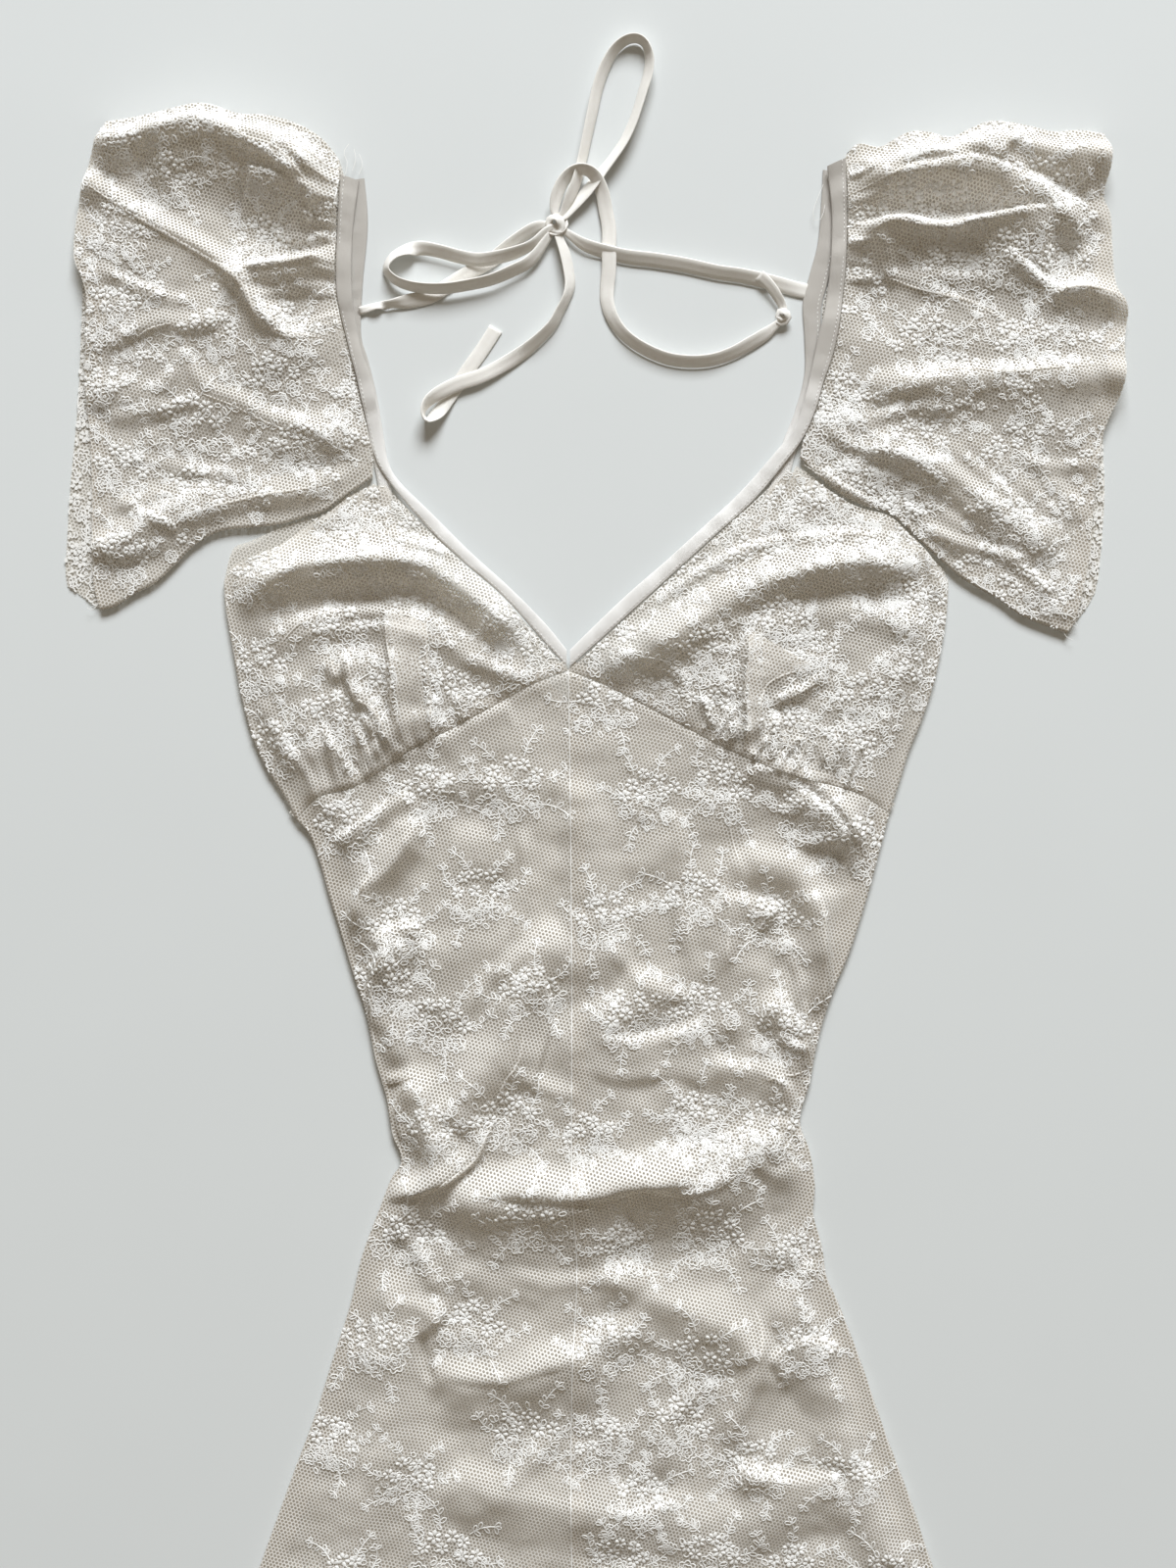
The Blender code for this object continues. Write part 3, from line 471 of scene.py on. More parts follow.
CUP_CREASES = (
    (4.5, 3, 3, 10, ((-115, 309), (-113, 290), (-112, 265), (-108, 242), (-104, 232))),
    (3, 3, 5, 0, ((-160, 284), (-157, 275), (-154, 272), (-150, 286))),
    (5, 9, 2.5, 0, ((-149, 290), (-148, 270), (-142, 260), (-132, 248), (-121, 226))),
    (4, 6, 2.5, 0, ((-140, 252), (-134, 240), (-130, 222))),
    (3, 5, 3, 0, ((-164, 246), (-158, 228), (-154, 208))),
    (2.5, 4, 4, 0, ((-97, 262), (-95, 248), (-92, 240))),
    (2.5, 4, 3, 0, ((-84, 262), (-82, 250), (-78, 246))),
    (3, 8, 5, 0, ((-200, 322), (-180, 336), (-150, 341), (-120, 341), (-90, 338))),
    (-3, 10, 10, 3, ((-200, 312), (-160, 317), (-120, 321), (-84, 312), (-58, 290))),
    (3, 5, 8, 0, ((-186, 300), (-168, 309), (-140, 312), (-120, 312))),
    (3, 6, 4, 0, ((-128, 364), (-116, 352), (-96, 347), (-80, 340))),
    (2, 6, 6, 0, ((-84, 285), (-62, 276), (-42, 272))),
    (2.5, 8, 8, 0, ((-203, 262), (-190, 238), (-176, 214))),
    (4.5, 2.5, 3, 4, ((93, 300), (91, 284), (91, 262), (91, 244), (90, 228))),
    (4, 3, 8, 0, ((99, 255), (110, 261), (122, 266), (134, 276))),
    (-1, 5, 5, 1, ((100, 264), (110, 267), (122, 272))),
    (3, 6, 3, 0, ((60, 262), (64, 250), (68, 240))),
    (2.5, 4, 4, 0, ((76, 256), (78, 244), (80, 232))),
    (4, 4, 3, 1, ((104, 252), (104, 240), (102, 222))),
    (3, 4, 4, 0, ((122, 250), (120, 236), (118, 216))),
    (3, 5, 4, 0, ((146, 250), (142, 232), (138, 214))),
    (3, 5, 8, 0, ((20, 306), (48, 326), (78, 344), (110, 353), (150, 357), (178, 352))),
    (-3, 10, 10, 3, ((44, 300), (76, 312), (110, 322), (150, 328), (184, 326))),
    (2.5, 6, 6, 0, ((186, 352), (196, 338), (200, 318))),
    (2, 8, 8, 0, ((10, 284), (32, 282), (56, 268))),
)
SLEEVE_CREASES = (
    (5, 10, 5, 0, ((-300, 562), (-284, 553), (-262, 540), (-240, 528), (-222, 516), (-205, 492),
                   (-188, 476), (-172, 470))),
    (4, 5, 3, 0, ((-214, 512), (-196, 515), (-178, 517), (-158, 521))),
    (3, 6, 4, 0, ((-228, 592), (-206, 584), (-186, 572), (-168, 556), (-156, 552))),
    (3, 5, 4, 0, ((-212, 604), (-192, 594), (-176, 576), (-158, 562))),
    (-4, 12, 12, 8, ((-222, 552), (-196, 546), (-172, 542))),
    (3, 5, 5, 0, ((-196, 536), (-176, 530), (-158, 534))),
    (3, 5, 5, 0, ((-208, 496), (-186, 500), (-156, 504))),
    (3, 10, 6, 0, ((-296, 462), (-276, 474), (-258, 480), (-240, 478), (-214, 484))),
    (2.5, 6, 8, 0, ((-266, 440), (-250, 452), (-244, 462), (-236, 448), (-214, 432))),
    (2.5, 6, 8, 0, ((-296, 424), (-262, 430), (-234, 436))),
    (2.5, 8, 6, 0, ((-230, 446), (-200, 428), (-168, 418), (-148, 400))),
    (2.5, 8, 6, 0, ((-292, 404), (-260, 398), (-226, 392), (-196, 388))),
    (3, 8, 8, 0, ((-262, 356), (-236, 368), (-206, 376), (-176, 380), (-156, 390))),
    (2, 6, 6, 0, ((-290, 372), (-266, 378), (-246, 386))),
    (2, 6, 6, 0, ((-288, 340), (-266, 348), (-250, 352))),
    (5, 4, 6, 0, ((152, 538), (176, 542), (202, 538), (228, 541), (262, 548))),
    (4, 8, 5, 0, ((152, 562), (172, 572), (196, 579), (222, 581))),
    (1.5, 6, 8, 0, ((154, 518), (176, 508), (206, 496), (236, 482))),
    (6, 4, 9, 0, ((120, 399), (134, 390), (150, 380), (168, 370))),
    (1.6, 5, 8, 0, ((176, 404), (196, 392), (214, 377), (232, 364))),
    (1.6, 5, 7, 0, ((204, 412), (224, 396), (244, 378), (254, 368))),
    (1.6, 5, 7, 0, ((170, 380), (190, 368), (208, 352), (222, 342))),
    (2.5, 4, 7, 0, ((236, 346), (254, 334), (270, 320))),
    (3, 4, 8, 0, ((-300, 516), (-280, 506), (-256, 496), (-236, 494))),
    (2.5, 4, 8, 0, ((-286, 378), (-262, 366), (-244, 360))),
    (-4, 10, 10, 5, ((158, 552), (200, 556), (244, 552))),
    (-4, 9, 9, 6, ((166, 522), (200, 522), (236, 520))),
    (4, 5, 8, 0, ((238, 526), (252, 512), (270, 502), (300, 501))),
    (4, 8, 4, 0, ((206, 588), (224, 582), (240, 576), (258, 568))),
    (3, 5, 5, 0, ((232, 576), (246, 590), (262, 596))),
    (2, 10, 6, 0, ((150, 430), (176, 440), (206, 449), (250, 452), (300, 455))),
    (2, 6, 6, 0, ((158, 424), (186, 430), (214, 430))),
    (2, 9, 6, 0, ((190, 404), (208, 390), (232, 374), (244, 368))),
    (2.5, 8, 6, 0, ((128, 424), (150, 408), (178, 402), (202, 396))),
    (3, 6, 6, 0, ((186, 362), (212, 352), (240, 344), (262, 338))),
    (2, 6, 6, 0, ((250, 400), (272, 396), (292, 398))),
    (2.5, 6, 6, 0, ((282, 576), (292, 556), (296, 536))),
    (2.5, 6, 6, 0, ((272, 550), (284, 530), (290, 512))),
)

# Long slopes that fall towards the hem from a crest: height, reach towards the neck, reach
# towards the hem, then the places of the crest
FRONT_SLOPES = (
    (13, 24, 36, ((-92, -38), (-68, -37), (-40, -42), (-15, -43), (4, -38), (20, -31))),
    (12, 17, 34, ((10, -36), (34, -33), (52, -34), (68, -29), (80, -21), (94, -8))),
    (9, 9, 24, ((88, -10), (104, -21), (120, -12))),
    (8, 14, 30, ((-100, -144), (-60, -147), (-28, -140), (10, -126))),
    (9, 12, 34, ((18, -90), (54, -103), (84, -118), (98, -140))),
    (8, 5, 26, ((96, -136), (122, -120), (146, -130))),
    (7, 5, 18, ((-160, 172), (-138, 186), (-108, 206))),
    (8, 5, 24, ((-146, 142), (-130, 160), (-110, 182))),
    (7, 5, 20, ((-136, 112), (-122, 122), (-104, 124))),
    (9, 5, 24, ((112, 206), (134, 192), (152, 172))),
    (4, 14, 34, ((-66, 122), (-36, 116), (-6, 110), (20, 100))),
    (5, 6, 22, ((64, 44), (88, 40), (112, 40))),
    (6, 6, 28, ((-100, 232), (-74, 244), (-48, 258))),
    (5, 6, 24, ((70, 140), (90, 138), (106, 128))),
    (5, 6, 24, ((-132, -50), (-112, -36), (-92, -34))),
    (7, 6, 30, ((-130, -100), (-110, -98), (-92, -112))),
    (6, 8, 30, ((-86, -206), (-30, -216), (26, -222), (60, -208))),
    (8, 8, 34, ((78, -196), (112, -204), (150, -200))),
    (5, 6, 26, ((-10, 62), (18, 56), (46, 60), (66, 70))),
)
CUP_SLOPES = (
    (17, 22, 25, ((-216, 320), (-186, 332), (-150, 338), (-112, 338), (-84, 327), (-56, 304),
                  (-36, 288))),
    (7, 5, 26, ((-192, 293), (-160, 300), (-124, 301), (-92, 292), (-60, 276))),
    (16, 22, 27, ((12, 278), (52, 302), (86, 320), (124, 334), (160, 339), (190, 326))),
    (5, 8, 28, ((92, 284), (116, 294), (142, 296), (168, 288))),
    (4, 6, 22, ((98, 264), (120, 274), (146, 278))),
)
SLEEVE_SLOPES = (
    (21, 9, 56, ((-280, 590), (-246, 599), (-222, 596), (-198, 588), (-176, 576), (-156, 562))),
    (19, 8, 40, ((-212, 572), (-190, 566), (-160, 552))),
    (10, 9, 56, ((-304, 552), (-280, 544), (-258, 533), (-236, 521), (-216, 507), (-200, 488),
                 (-186, 473), (-158, 470))),
    (9, 4, 26, ((-214, 513), (-190, 515), (-158, 520))),
    (19, 9, 34, ((148, 560), (176, 567), (200, 572), (226, 574), (250, 564), (276, 548))),
    (18, 7, 56, ((146, 528), (170, 539), (200, 534), (224, 539), (250, 545), (276, 547))),
    (2, 6, 40, ((160, 511), (188, 501), (204, 497), (222, 492), (240, 482), (256, 472))),
    (9, 5, 30, ((264, 495), (284, 501), (309, 494))),
    (8, 16, 34, ((172, 441), (214, 445), (260, 446), (308, 449))),
    (2.5, 7, 16, ((178, 420), (212, 402), (236, 384), (258, 366))),
    (2.5, 7, 16, ((206, 420), (232, 402), (256, 382), (276, 362))),
    (2.5, 7, 16, ((236, 416), (258, 398), (278, 378), (290, 360))),
    (3, 7, 18, ((140, 404), (170, 390), (200, 372), (226, 352))),
)

# Edges of folds, where the net is seen edge-on: width, then the places
FRONT_EDGES = (
    (2.0, ((-60, 12), (-66, 2), (-72, -11), (-82, -20), (-97, -30), (-110, -42), (-126, -56))),
    (1.5, ((-134, 158), (-144, 136), (-146, 114))),
    (1.6, ((-122, 112), (-130, 104), (-134, 88), (-134, 66), (-132, 46))),
    (1.4, ((-108, 37), (-118, 33), (-128, 31))),
    (1.8, ((-112, 34), (-119, 22), (-122, 5), (-117, -10))),
    (1.7, ((-44, 66), (-47, 46), (-56, 32), (-64, 12))),
    (1.7, ((126, 152), (132, 138), (133, 110), (133, 84), (131, 68))),
    (1.5, ((112, 178), (121, 174), (132, 168), (140, 156))),
    (1.5, ((117, 80), (120, 62), (125, 44), (122, 32))),
    (1.6, ((94, 31), (104, 36), (116, 37), (124, 40))),
    (1.4, ((77, 130), (76, 116), (75, 102))),
    (1.3, ((80, 196), (78, 180), (84, 160))),
    (1.5, ((-14, -43), (8, -37), (24, -31), (36, -33), (52, -34), (68, -29), (80, -21), (88, -12))),
    (1.5, ((88, -96), (96, -112), (94, -132), (86, -152))),
)
CUP_EDGES = (
    (1.9, ((-149, 288), (-147, 277), (-144, 261), (-135, 254), (-129, 246), (-122, 230))),
    (1.6, ((-113, 229), (-120, 239), (-122, 259), (-122, 277), (-125, 297), (-126, 311))),
    (1.6, ((-126, 312), (-113, 308), (-102, 302))),
    (1.7, ((-101, 303), (-101, 277), (-99, 259), (-100, 235))),
    (1.3, ((-157, 288), (-156, 277), (-154, 272), (-152, 286))),
    (1.4, ((-144, 244), (-140, 228), (-136, 216))),
    (1.3, ((-112, 252), (-109, 240), (-107, 230))),
    (1.6, ((-188, 290), (-177, 302), (-162, 309), (-140, 311))),
    (1.8, ((88, 300), (88, 282), (86, 263), (88, 246), (85, 230))),
    (1.7, ((130, 276), (120, 276), (107, 272), (98, 266), (95, 254), (97, 239), (97, 222))),
    (1.5, ((134, 272), (119, 263), (107, 257), (101, 249), (99, 236))),
    (1.3, ((66, 252), (63, 246), (61, 240))),
    (1.3, ((112, 243), (108, 232), (104, 221))),
    (1.3, ((124, 240), (120, 228), (116, 214))),
    (1.5, ((22, 286), (50, 312), (74, 331), (93, 343), (112, 349), (140, 355), (159, 355), (176, 349))),
)
SLEEVE_FOLD_EDGES = (
    (3.0, ((-300, 561), (-278, 546), (-254, 532), (-230, 518), (-219, 511), (-208, 499),
           (-200, 484), (-184, 472), (-162, 478))),
    (2.2, ((-234, 609), (-224, 600), (-208, 587), (-192, 582), (-182, 574), (-172, 562), (-157, 551))),
    (2.0, ((-218, 512), (-200, 513), (-180, 516), (-160, 522))),
    (1.4, ((-184, 584), (-168, 578), (-155, 568))),
    (1.4, ((-178, 573), (-166, 568), (-155, 561))),
    (1.4, ((-246, 446), (-232, 438), (-216, 432), (-196, 422), (-180, 416), (-164, 408), (-150, 396))),
    (1.6, ((-200, 477), (-180, 474), (-162, 472))),
    (1.4, ((-254, 441), (-251, 452))),
    (1.4, ((-230, 585), (-226, 570), (-231, 560))),
    (1.5, ((-280, 466), (-266, 476), (-250, 480))),
    (1.8, ((-244, 368), (-222, 374), (-200, 379), (-168, 384), (-154, 389))),
    (2.2, ((147, 526), (162, 535), (173, 539), (184, 537), (197, 536), (215, 539), (232, 544),
           (252, 547))),
    (1.8, ((146, 556), (167, 564), (184, 571), (202, 577), (216, 586))),
    (1.5, ((147, 545), (160, 552), (176, 556))),
    (1.5, ((147, 536), (156, 541), (166, 545))),
    (1.8, ((160, 511), (174, 506), (188, 501), (204, 497), (222, 492), (240, 482), (252, 475))),
    (1.8, ((268, 499), (284, 501), (300, 499), (309, 494))),
    (1.7, ((178, 446), (197, 452), (219, 453), (241, 451), (263, 453), (300, 456))),
    (1.6, ((121, 398), (134, 390), (150, 380), (166, 371))),
)
# Pleats laid over the cups: one edge, then the other
PLEATS = {
    "cup_left": (((-126, 311), (-125, 297), (-122, 277), (-122, 259), (-120, 239), (-113, 230)),
                 ((-101, 303), (-101, 277), (-99, 259), (-100, 235))),
    "cup_right": (((88, 300), (88, 282), (86, 263), (88, 246), (85, 230)),
                  ((130, 276), (120, 276), (107, 272), (98, 266), (95, 254), (97, 239), (97, 222))),
}

# Thread lace: the middles of its bouquets
BODY_LACE = (
    (4, 255), (-100, 202), (-50, 206), (30, 200), (72, 205), (122, 192), (-150, 182),
    (-118, 122), (-70, 142), (4, 128), (56, 140), (102, 127), (150, 172),
    (-96, 66), (-40, 85), (20, 70), (62, 72), (110, 62), (-128, 88),
    (-98, 2), (-55, 8), (-6, -2), (56, 10), (100, 2), (66, -14),
    (-112, -62), (-42, -50), (14, -66), (66, -60), (120, -74),
    (-132, -124), (-76, -114), (4, -124), (60, -132), (124, -126),
    (-112, -204), (-44, -178), (4, -182), (48, -172), (92, -196), (146, -202), (-160, -182), (26, -216),
    (-90, -250), (12, -252), (66, -250), (114, -258), (-150, -262), (170, -262),
)
SKIRT_LACE_ROWS = 5
SKIRT_LACE_TOP = -312
LACE_PITCH = (57, 62)
CUP_LACE = (
    (-198, 330), (-148, 346), (-104, 352), (-50, 304), (-152, 298), (-201, 276), (-106, 314),
    (-84, 258), (-156, 246), (-114, 268), (-146, 374), (-196, 228), (-40, 284),
    (8, 288), (46, 330), (92, 338), (134, 372), (98, 372), (148, 346), (64, 284),
    (108, 302), (126, 284), (156, 258), (168, 322), (194, 306), (110, 240), (78, 252),
    (40, 262), (148, 228), (190, 268), (184, 346),
)
SLEEVE_LACE = (
    (-288, 586), (-254, 563), (-284, 534), (-199, 528), (-288, 486), (-230, 473), (-183, 477),
    (-192, 446), (-292, 440), (-242, 420), (-178, 406), (-144, 434), (-283, 394), (-238, 380),
    (-282, 342), (-240, 603), (-202, 568), (-166, 592),
    (191, 588), (260, 561), (205, 512), (240, 516), (274, 514), (192, 467), (250, 468), (190, 410),
    (246, 405), (247, 362), (140, 436), (148, 384), (178, 366), (252, 320), (128, 418),
    (236, 597), (206, 545),
)
SLEEVE_SPRIGS = (
    (-302, 516), (-160, 540), (-168, 388), (-212, 398), (-206, 374), (-258, 354), (-214, 502),
    (-266, 452), (-140, 404), (-224, 590), (-306, 466), (-270, 500),
    (157, 580), (282, 542), (160, 537), (180, 550), (156, 502), (149, 480), (289, 464), (268, 452),
    (212, 452), (246, 434), (270, 411), (190, 386), (226, 364), (284, 368), (182, 362), (262, 340),
    (222, 334), (264, 496), (286, 588), (168, 396), (290, 396), (276, 310), (216, 424), (160, 430),
)

UNDER_HEM_LACE = (
    (-306, 336), (-309, 372), (-306, 408), (-308, 446), (-305, 484), (-303, 520), (296, 430),
    (298, 392), (294, 352), (288, 320), (300, 470),
)

# Loose threads: the places each one runs through
LOOSE_THREADS = (
    ((-150, 570), (-149, 577), (-151, 583), (-148, 588)),
    ((-146, 572), (-144, 579), (-145, 585)),
    ((-142, 570), (-140, 576), (-142, 582)),
    ((133, 564), (130, 557), (127, 548), (128, 542), (132, 544), (134, 552)),
    ((277, 300), (280, 303), (284, 301), (282, 305), (278, 307)),
    ((274, 301), (277, 296), (281, 294)),
    ((-296, 316), (-300, 312), (-303, 313)),
)

# Ties: x, y, underside, width and tilt in degrees, the left edge up where it is above 0
LEFT_TIE = (
    (-142, 489, 0.4, 5, 30), (-132, 492, 0.4, 5, -30), (-124, 493, 0.3, 6, 40),
    (-113, 495, 0, 8.5, 15), (-100, 498, 0, 8.7, 5), (-90, 504, 0, 8.7, 5),
    (-77, 512, 0, 8.7, 8), (-64, 519, 0, 8.7, 5), (-54, 527, 0, 8.7, 28),
    (-46, 533, 0, 8.7, 35), (-38, 538, 0.4, 8, 30), (-32, 540, 1.4, 5, 10),
    (-28, 537, 2.6, 4, -20), (-33, 528, 1.8, 6, -30), (-41, 518, 1.6, 8, -36),
    (-52, 512, 1.6, 8.7, -42), (-64, 507, 1.6, 8.7, -46), (-77, 504, 1.6, 8.7, -48),
    (-90, 502, 1.6, 8.7, -50), (-103, 502, 1.6, 8.7, -52), (-114, 504, 1.2, 8.7, -56),
    (-122, 508, 0.8, 8.7, -62), (-126, 514, 0.6, 8.7, -64), (-122, 521, 0.8, 8.7, -52),
    (-114, 525, 1.2, 8.7, -30), (-105, 526, 1.6, 8.7, 20), (-94, 524, 1.6, 8.7, 32),
    (-83, 521, 1.6, 8.7, 30), (-72, 519, 2, 8.7, 24), (-61, 520, 3.2, 8.7, 30),
    (-49, 523, 3.2, 8.7, 40), (-39, 528, 3.2, 7, 44), (-31, 536, 3.4, 5, 30),
    (-26, 538, 3.6, 4, 0), (-23, 531, 1.6, 6, -30), (-20, 523, 0.8, 8, -36),
    (-18, 514, 0, 8.7, -42), (-17, 505, 0, 8.7, -46), (-19, 497, 0, 8.7, -58),
    (-23, 489, 0, 8.7, -56), (-28, 480, 0, 8.7, -50), (-37, 471, 0, 8.7, -40),
    (-46, 464, 0, 8.7, -24), (-59, 456, 1, 8.7, -6), (-71, 450, 2, 8.7, -4),
    (-83, 446, 2.2, 8.7, -8), (-93, 441, 2.2, 8.7, -20), (-101, 435, 2, 8.7, -50),
    (-104, 428, 1, 8.7, -80), (-101, 424, 0.5, 8.7, -66), (-95, 429, 0, 8.7, -20),
    (-89, 438, 0, 8.7, -4), (-82, 448, 0, 8.7, 0), (-75, 458, 0, 8.7, 3),
    (-68, 468, 0, 8.7, 0), (-61, 479, 0, 8.7, 0),
)
RIGHT_TIE = (
    (124, 501, 0.2, 9, 0), (118, 502, 0, 9, -6), (110, 504, 0, 9, -14), (98, 507, 0, 9.4, -24),
    (84, 510, 0, 9.4, -28), (70, 512, 0, 9.4, -28), (52, 516, 0, 9.4, -26),
    (34, 519, 0, 9.4, -26), (17, 521, 0, 9.4, -28), (4, 524, 0, 9.2, -30),
    (-8, 528, 0.8, 8, -28), (-17, 534, 1.8, 5, -20), (-24, 540, 2.8, 4, 20),
    (-21, 547, 2, 5, 36), (-17, 556, 1.8, 8, 44), (-13, 566, 1.2, 8.7, 50),
    (-10, 578, 0.3, 8.7, 52), (-7, 592, 0, 8.7, 50), (-4, 606, 0, 8.7, 46),
    (-1, 620, 0, 8.7, 44), (3, 632, 0, 8.7, 46), (9, 643, 0, 8.7, 52), (16, 649, 0, 8.7, 58),
    (23, 650, 0, 8.7, 62), (28, 646, 0, 8.7, 64), (30, 638, 0, 8.7, 52), (29, 629, 0, 8.7, 48),
    (26, 619, 0, 8.7, 50), (23, 609, 0, 8.7, 52), (19, 598, 0, 8.7, 50), (14, 588, 0, 8.7, 50),
    (7, 578, 0, 8.7, 48), (0, 569, 0, 8.7, 40), (-7, 560, 0, 8.7, 34), (-15, 551, 0.8, 7, 24),
    (-22, 544, 2.8, 5, 10), (-26, 547, 3.6, 5, 10), (-25, 556, 3.2, 8, 28),
    (-21, 565, 3.2, 8.7, 38), (-15, 571, 3, 8.7, 46), (-8, 572, 2.8, 8.7, 48),
    (-2, 568, 2.4, 8.7, 36), (2, 559, 1.6, 8.7, 20), (4, 549, 1, 8.7, 12),
    (6, 538, 1.4, 8.7, 8), (6, 526, 2.2, 8.7, 6), (6, 514, 1.4, 8.7, 8), (5, 504, 0.2, 8.7, 14),
    (5, 495, 0, 8.7, 22), (8, 485, 0, 8.7, 34), (15, 475, 0, 8.7, 40), (26, 467, 0, 8.7, 38),
    (40, 461, 0, 8.7, 36), (54, 459, 0, 8.7, 36), (67, 460, 0, 8.7, 36), (79, 464, 0, 8.7, 34),
    (90, 470, 0, 8.7, 30), (98, 475, 0, 8, 24), (104, 480, 1, 5, 10), (109, 485, 2.4, 4, 0),
    (109, 491, 1.2, 5, -20), (106, 497, 1.4, 6.6, -34), (101, 504, 2, 7, -30),
    (95, 510, 2.2, 7, -20),
)
BOW_KNOT_PLACE = (-25, 540)
END_KNOT_PLACE = (109, 486)

# Steps of the meshes
FRONT_STEP = 2.6
CUP_STEP = 2.0
SLEEVE_STEP = 2.2
BAND_STEP = 2.4
FOLD_STEP = 1.8
ROUTE_STEPS = 4
SLEEVE_UNDER_EVERY = 3

# Net, lace thread and tape
NET_PITCH = 1.9
LACE_LIFT = 0.25
THREAD_RISE = 0.38
TAPE_THICK = 1.0
STITCH_STEP = 2.6
STITCH_SHARE = 0.7
BINDING_STITCH_WIDTH = 0.5
HEM_STITCH_WIDTH = 0.6
HEM_STITCH_INSET = 10
SEAM_THREAD = 0.6
SEAM_POINTS = 400
LOOSE_WIDTH = 0.3
LOOSE_LEVEL = 2.6
LOOSE_POINTS = 9
BAND_LIFT = -0.5
SLEEVE_BAND_LIFT = -0.4
UNDER_LACE_LEVEL = 1.0
BACK_LACE_LEVEL = 1.6
LACE_SEED = 11
WRINKLE_SEED = 5
FOLD_DENSITY = 0.8
PLEAT_DENSITY = 0.35
LEAST_UPRIGHT = 0.3
MOST_TIGHT = 1.6

# Forms of the cloth: how far ridges reach on both sides, and how its details fade
RIDGE_REACH_NECK = 1.6
RIDGE_REACH_HEM = 2.1
NECK_WAY = (-0.25, 0.97)
NECK_SOFT = 1.5
CREASE_FADE = 0.22
SLOPE_FADE = 0.16
SLOPE_HOLLOW = 0.35
FRONT_CREASE_FADE = 5
SLEEVE_EDGE_REACH = 15
SLEEVE_CREASE_FADE = 6
SLEEVE_WRINKLE_FADE = 10
SHOULDER_FADE = 3
SHOULDER_HOLD = 0.45
SEAM_PINCH = 0.9
SEAM_PINCH_REACH = 3
LEAST_FRONT_LIFT = 0.15
LEAST_SLEEVE_LIFT = 0.1

# Wrinkles: size across and along, height, then the shift and seed of their noise
WRINKLES = ((34, 21, 1.9, 0, 0), (17, 12, 1.1, 9, 2), (8, 6.5, 0.35, 7, 1))

# Short gathers: the parts of their length, their reach, rise and bend
GATHER_PARTS = (-0.15, 0.25, 0.6, 1)
GATHER_REACH = (1.8, 3.4)
GATHER_RISE = (0.55, 1.3)
GATHER_BEND = 0.35

# Noise: cells of its table and the cell that the neck's middle falls in
NOISE_CELLS = 64
NOISE_SHIFT = 20

# Lace: widths of its threads, and shapes as shares of a flower's radius
ROSE_THREAD = 0.85
FINE_THREAD = 0.8
STEM_THREAD = 0.75
PETAL_REACH = (0.3, 0.68, 1)
PETAL_WIDTH = (0.28, 0.64, 0.36)
SCALLOP_DENT = 0.74
SCALLOP_BULGE = 0.3
ROSE_INNER = 0.6
CURL_REACH = (0.06, 0.26)
CURL_POINTS = 6
LEAF_POINTS = 7
LEAF_LENGTH = (3.2, 4.6)
LEAF_WIDTH = (1.7, 2.4)
STEM_POINTS = 6
LOOSE_LEAVES_REACH = 19
LOOSE_CURLS_REACH = 15
SMALL_BOUQUET = 0.72
UNDER_LACE_SHIFT = (14, -20)

# Details of the pieces
CENTRE_X = -16
STITCH_LEVEL = 0.98
STITCH_LIFT = 0.1
STITCH_RISE = 0.4
STITCH_TAPER = 0.6
FLAT_LACE_SPREAD = 0.5
LACE_COLUMNS = 6
BACK_LACE_ROWS = 16
BACK_LACE_TOP = 360
BACK_LACE_SHIFT = 12
CLOSE_POINTS = 1
SLEEVE_FLOOR = 0.5
BACK_WEAVE_SHIFT = 0.6
BAND_WEAVE_SHIFT = 0.4
PLEAT_WEAVE_SHIFT = 0.8
BAND_COLUMNS = 5
STRIP_STEP = 2.2
STRIP_ACROSS = (-1, -0.86, -0.5, 0, 0.5, 0.86, 1)
STRIP_ROUND = 0.94
STRIP_WEAVE = 4
STRIP_EDGE = 0.35
STRIP_CROWN = 0.75
LONG_PUCKER = 0.28
FINE_PUCKER = 0.16
BINDING_SEED = 20
STITCH_ACROSS = 0.8
FOLD_ACROSS = (-0.5, -0.225, 0.225, 0.5)
FOLD_CROWN = (0, 0.24, 0.24, 0)
FOLD_TIP = 0.25
FOLD_FADE = 0.3
FOLD_LIFT = 0.12
PLEAT_STEP = 2
PLEAT_COLUMNS = 7
PLEAT_LIFT = 0.2
PLEAT_RISE = 0.7
TAPE_STEP = 2
TAPE_WEAVE = 4.3
TAPE_SECTION = (
    (1, 0), (0.88, 0.5), (0.3, 0.42), (-0.3, 0.42), (-0.88, 0.5), (-1, 0),
    (-0.88, -0.5), (0, -0.42), (0.88, -0.5),
)
BOW_KNOT_RADIUS = 5.2
END_KNOT_RADIUS = 4.0

# Flat sizes of the sheets in metres and square metres: width, length and area
FRONT_FLAT = (0.33, 0.90, 0.17)
CUP_FLAT = (0.24, 0.22, 0.032)
BACK_FLAT = (0.65, 0.99, 0.36)
SLEEVE_FLAT = (0.62, 0.19, 0.09)

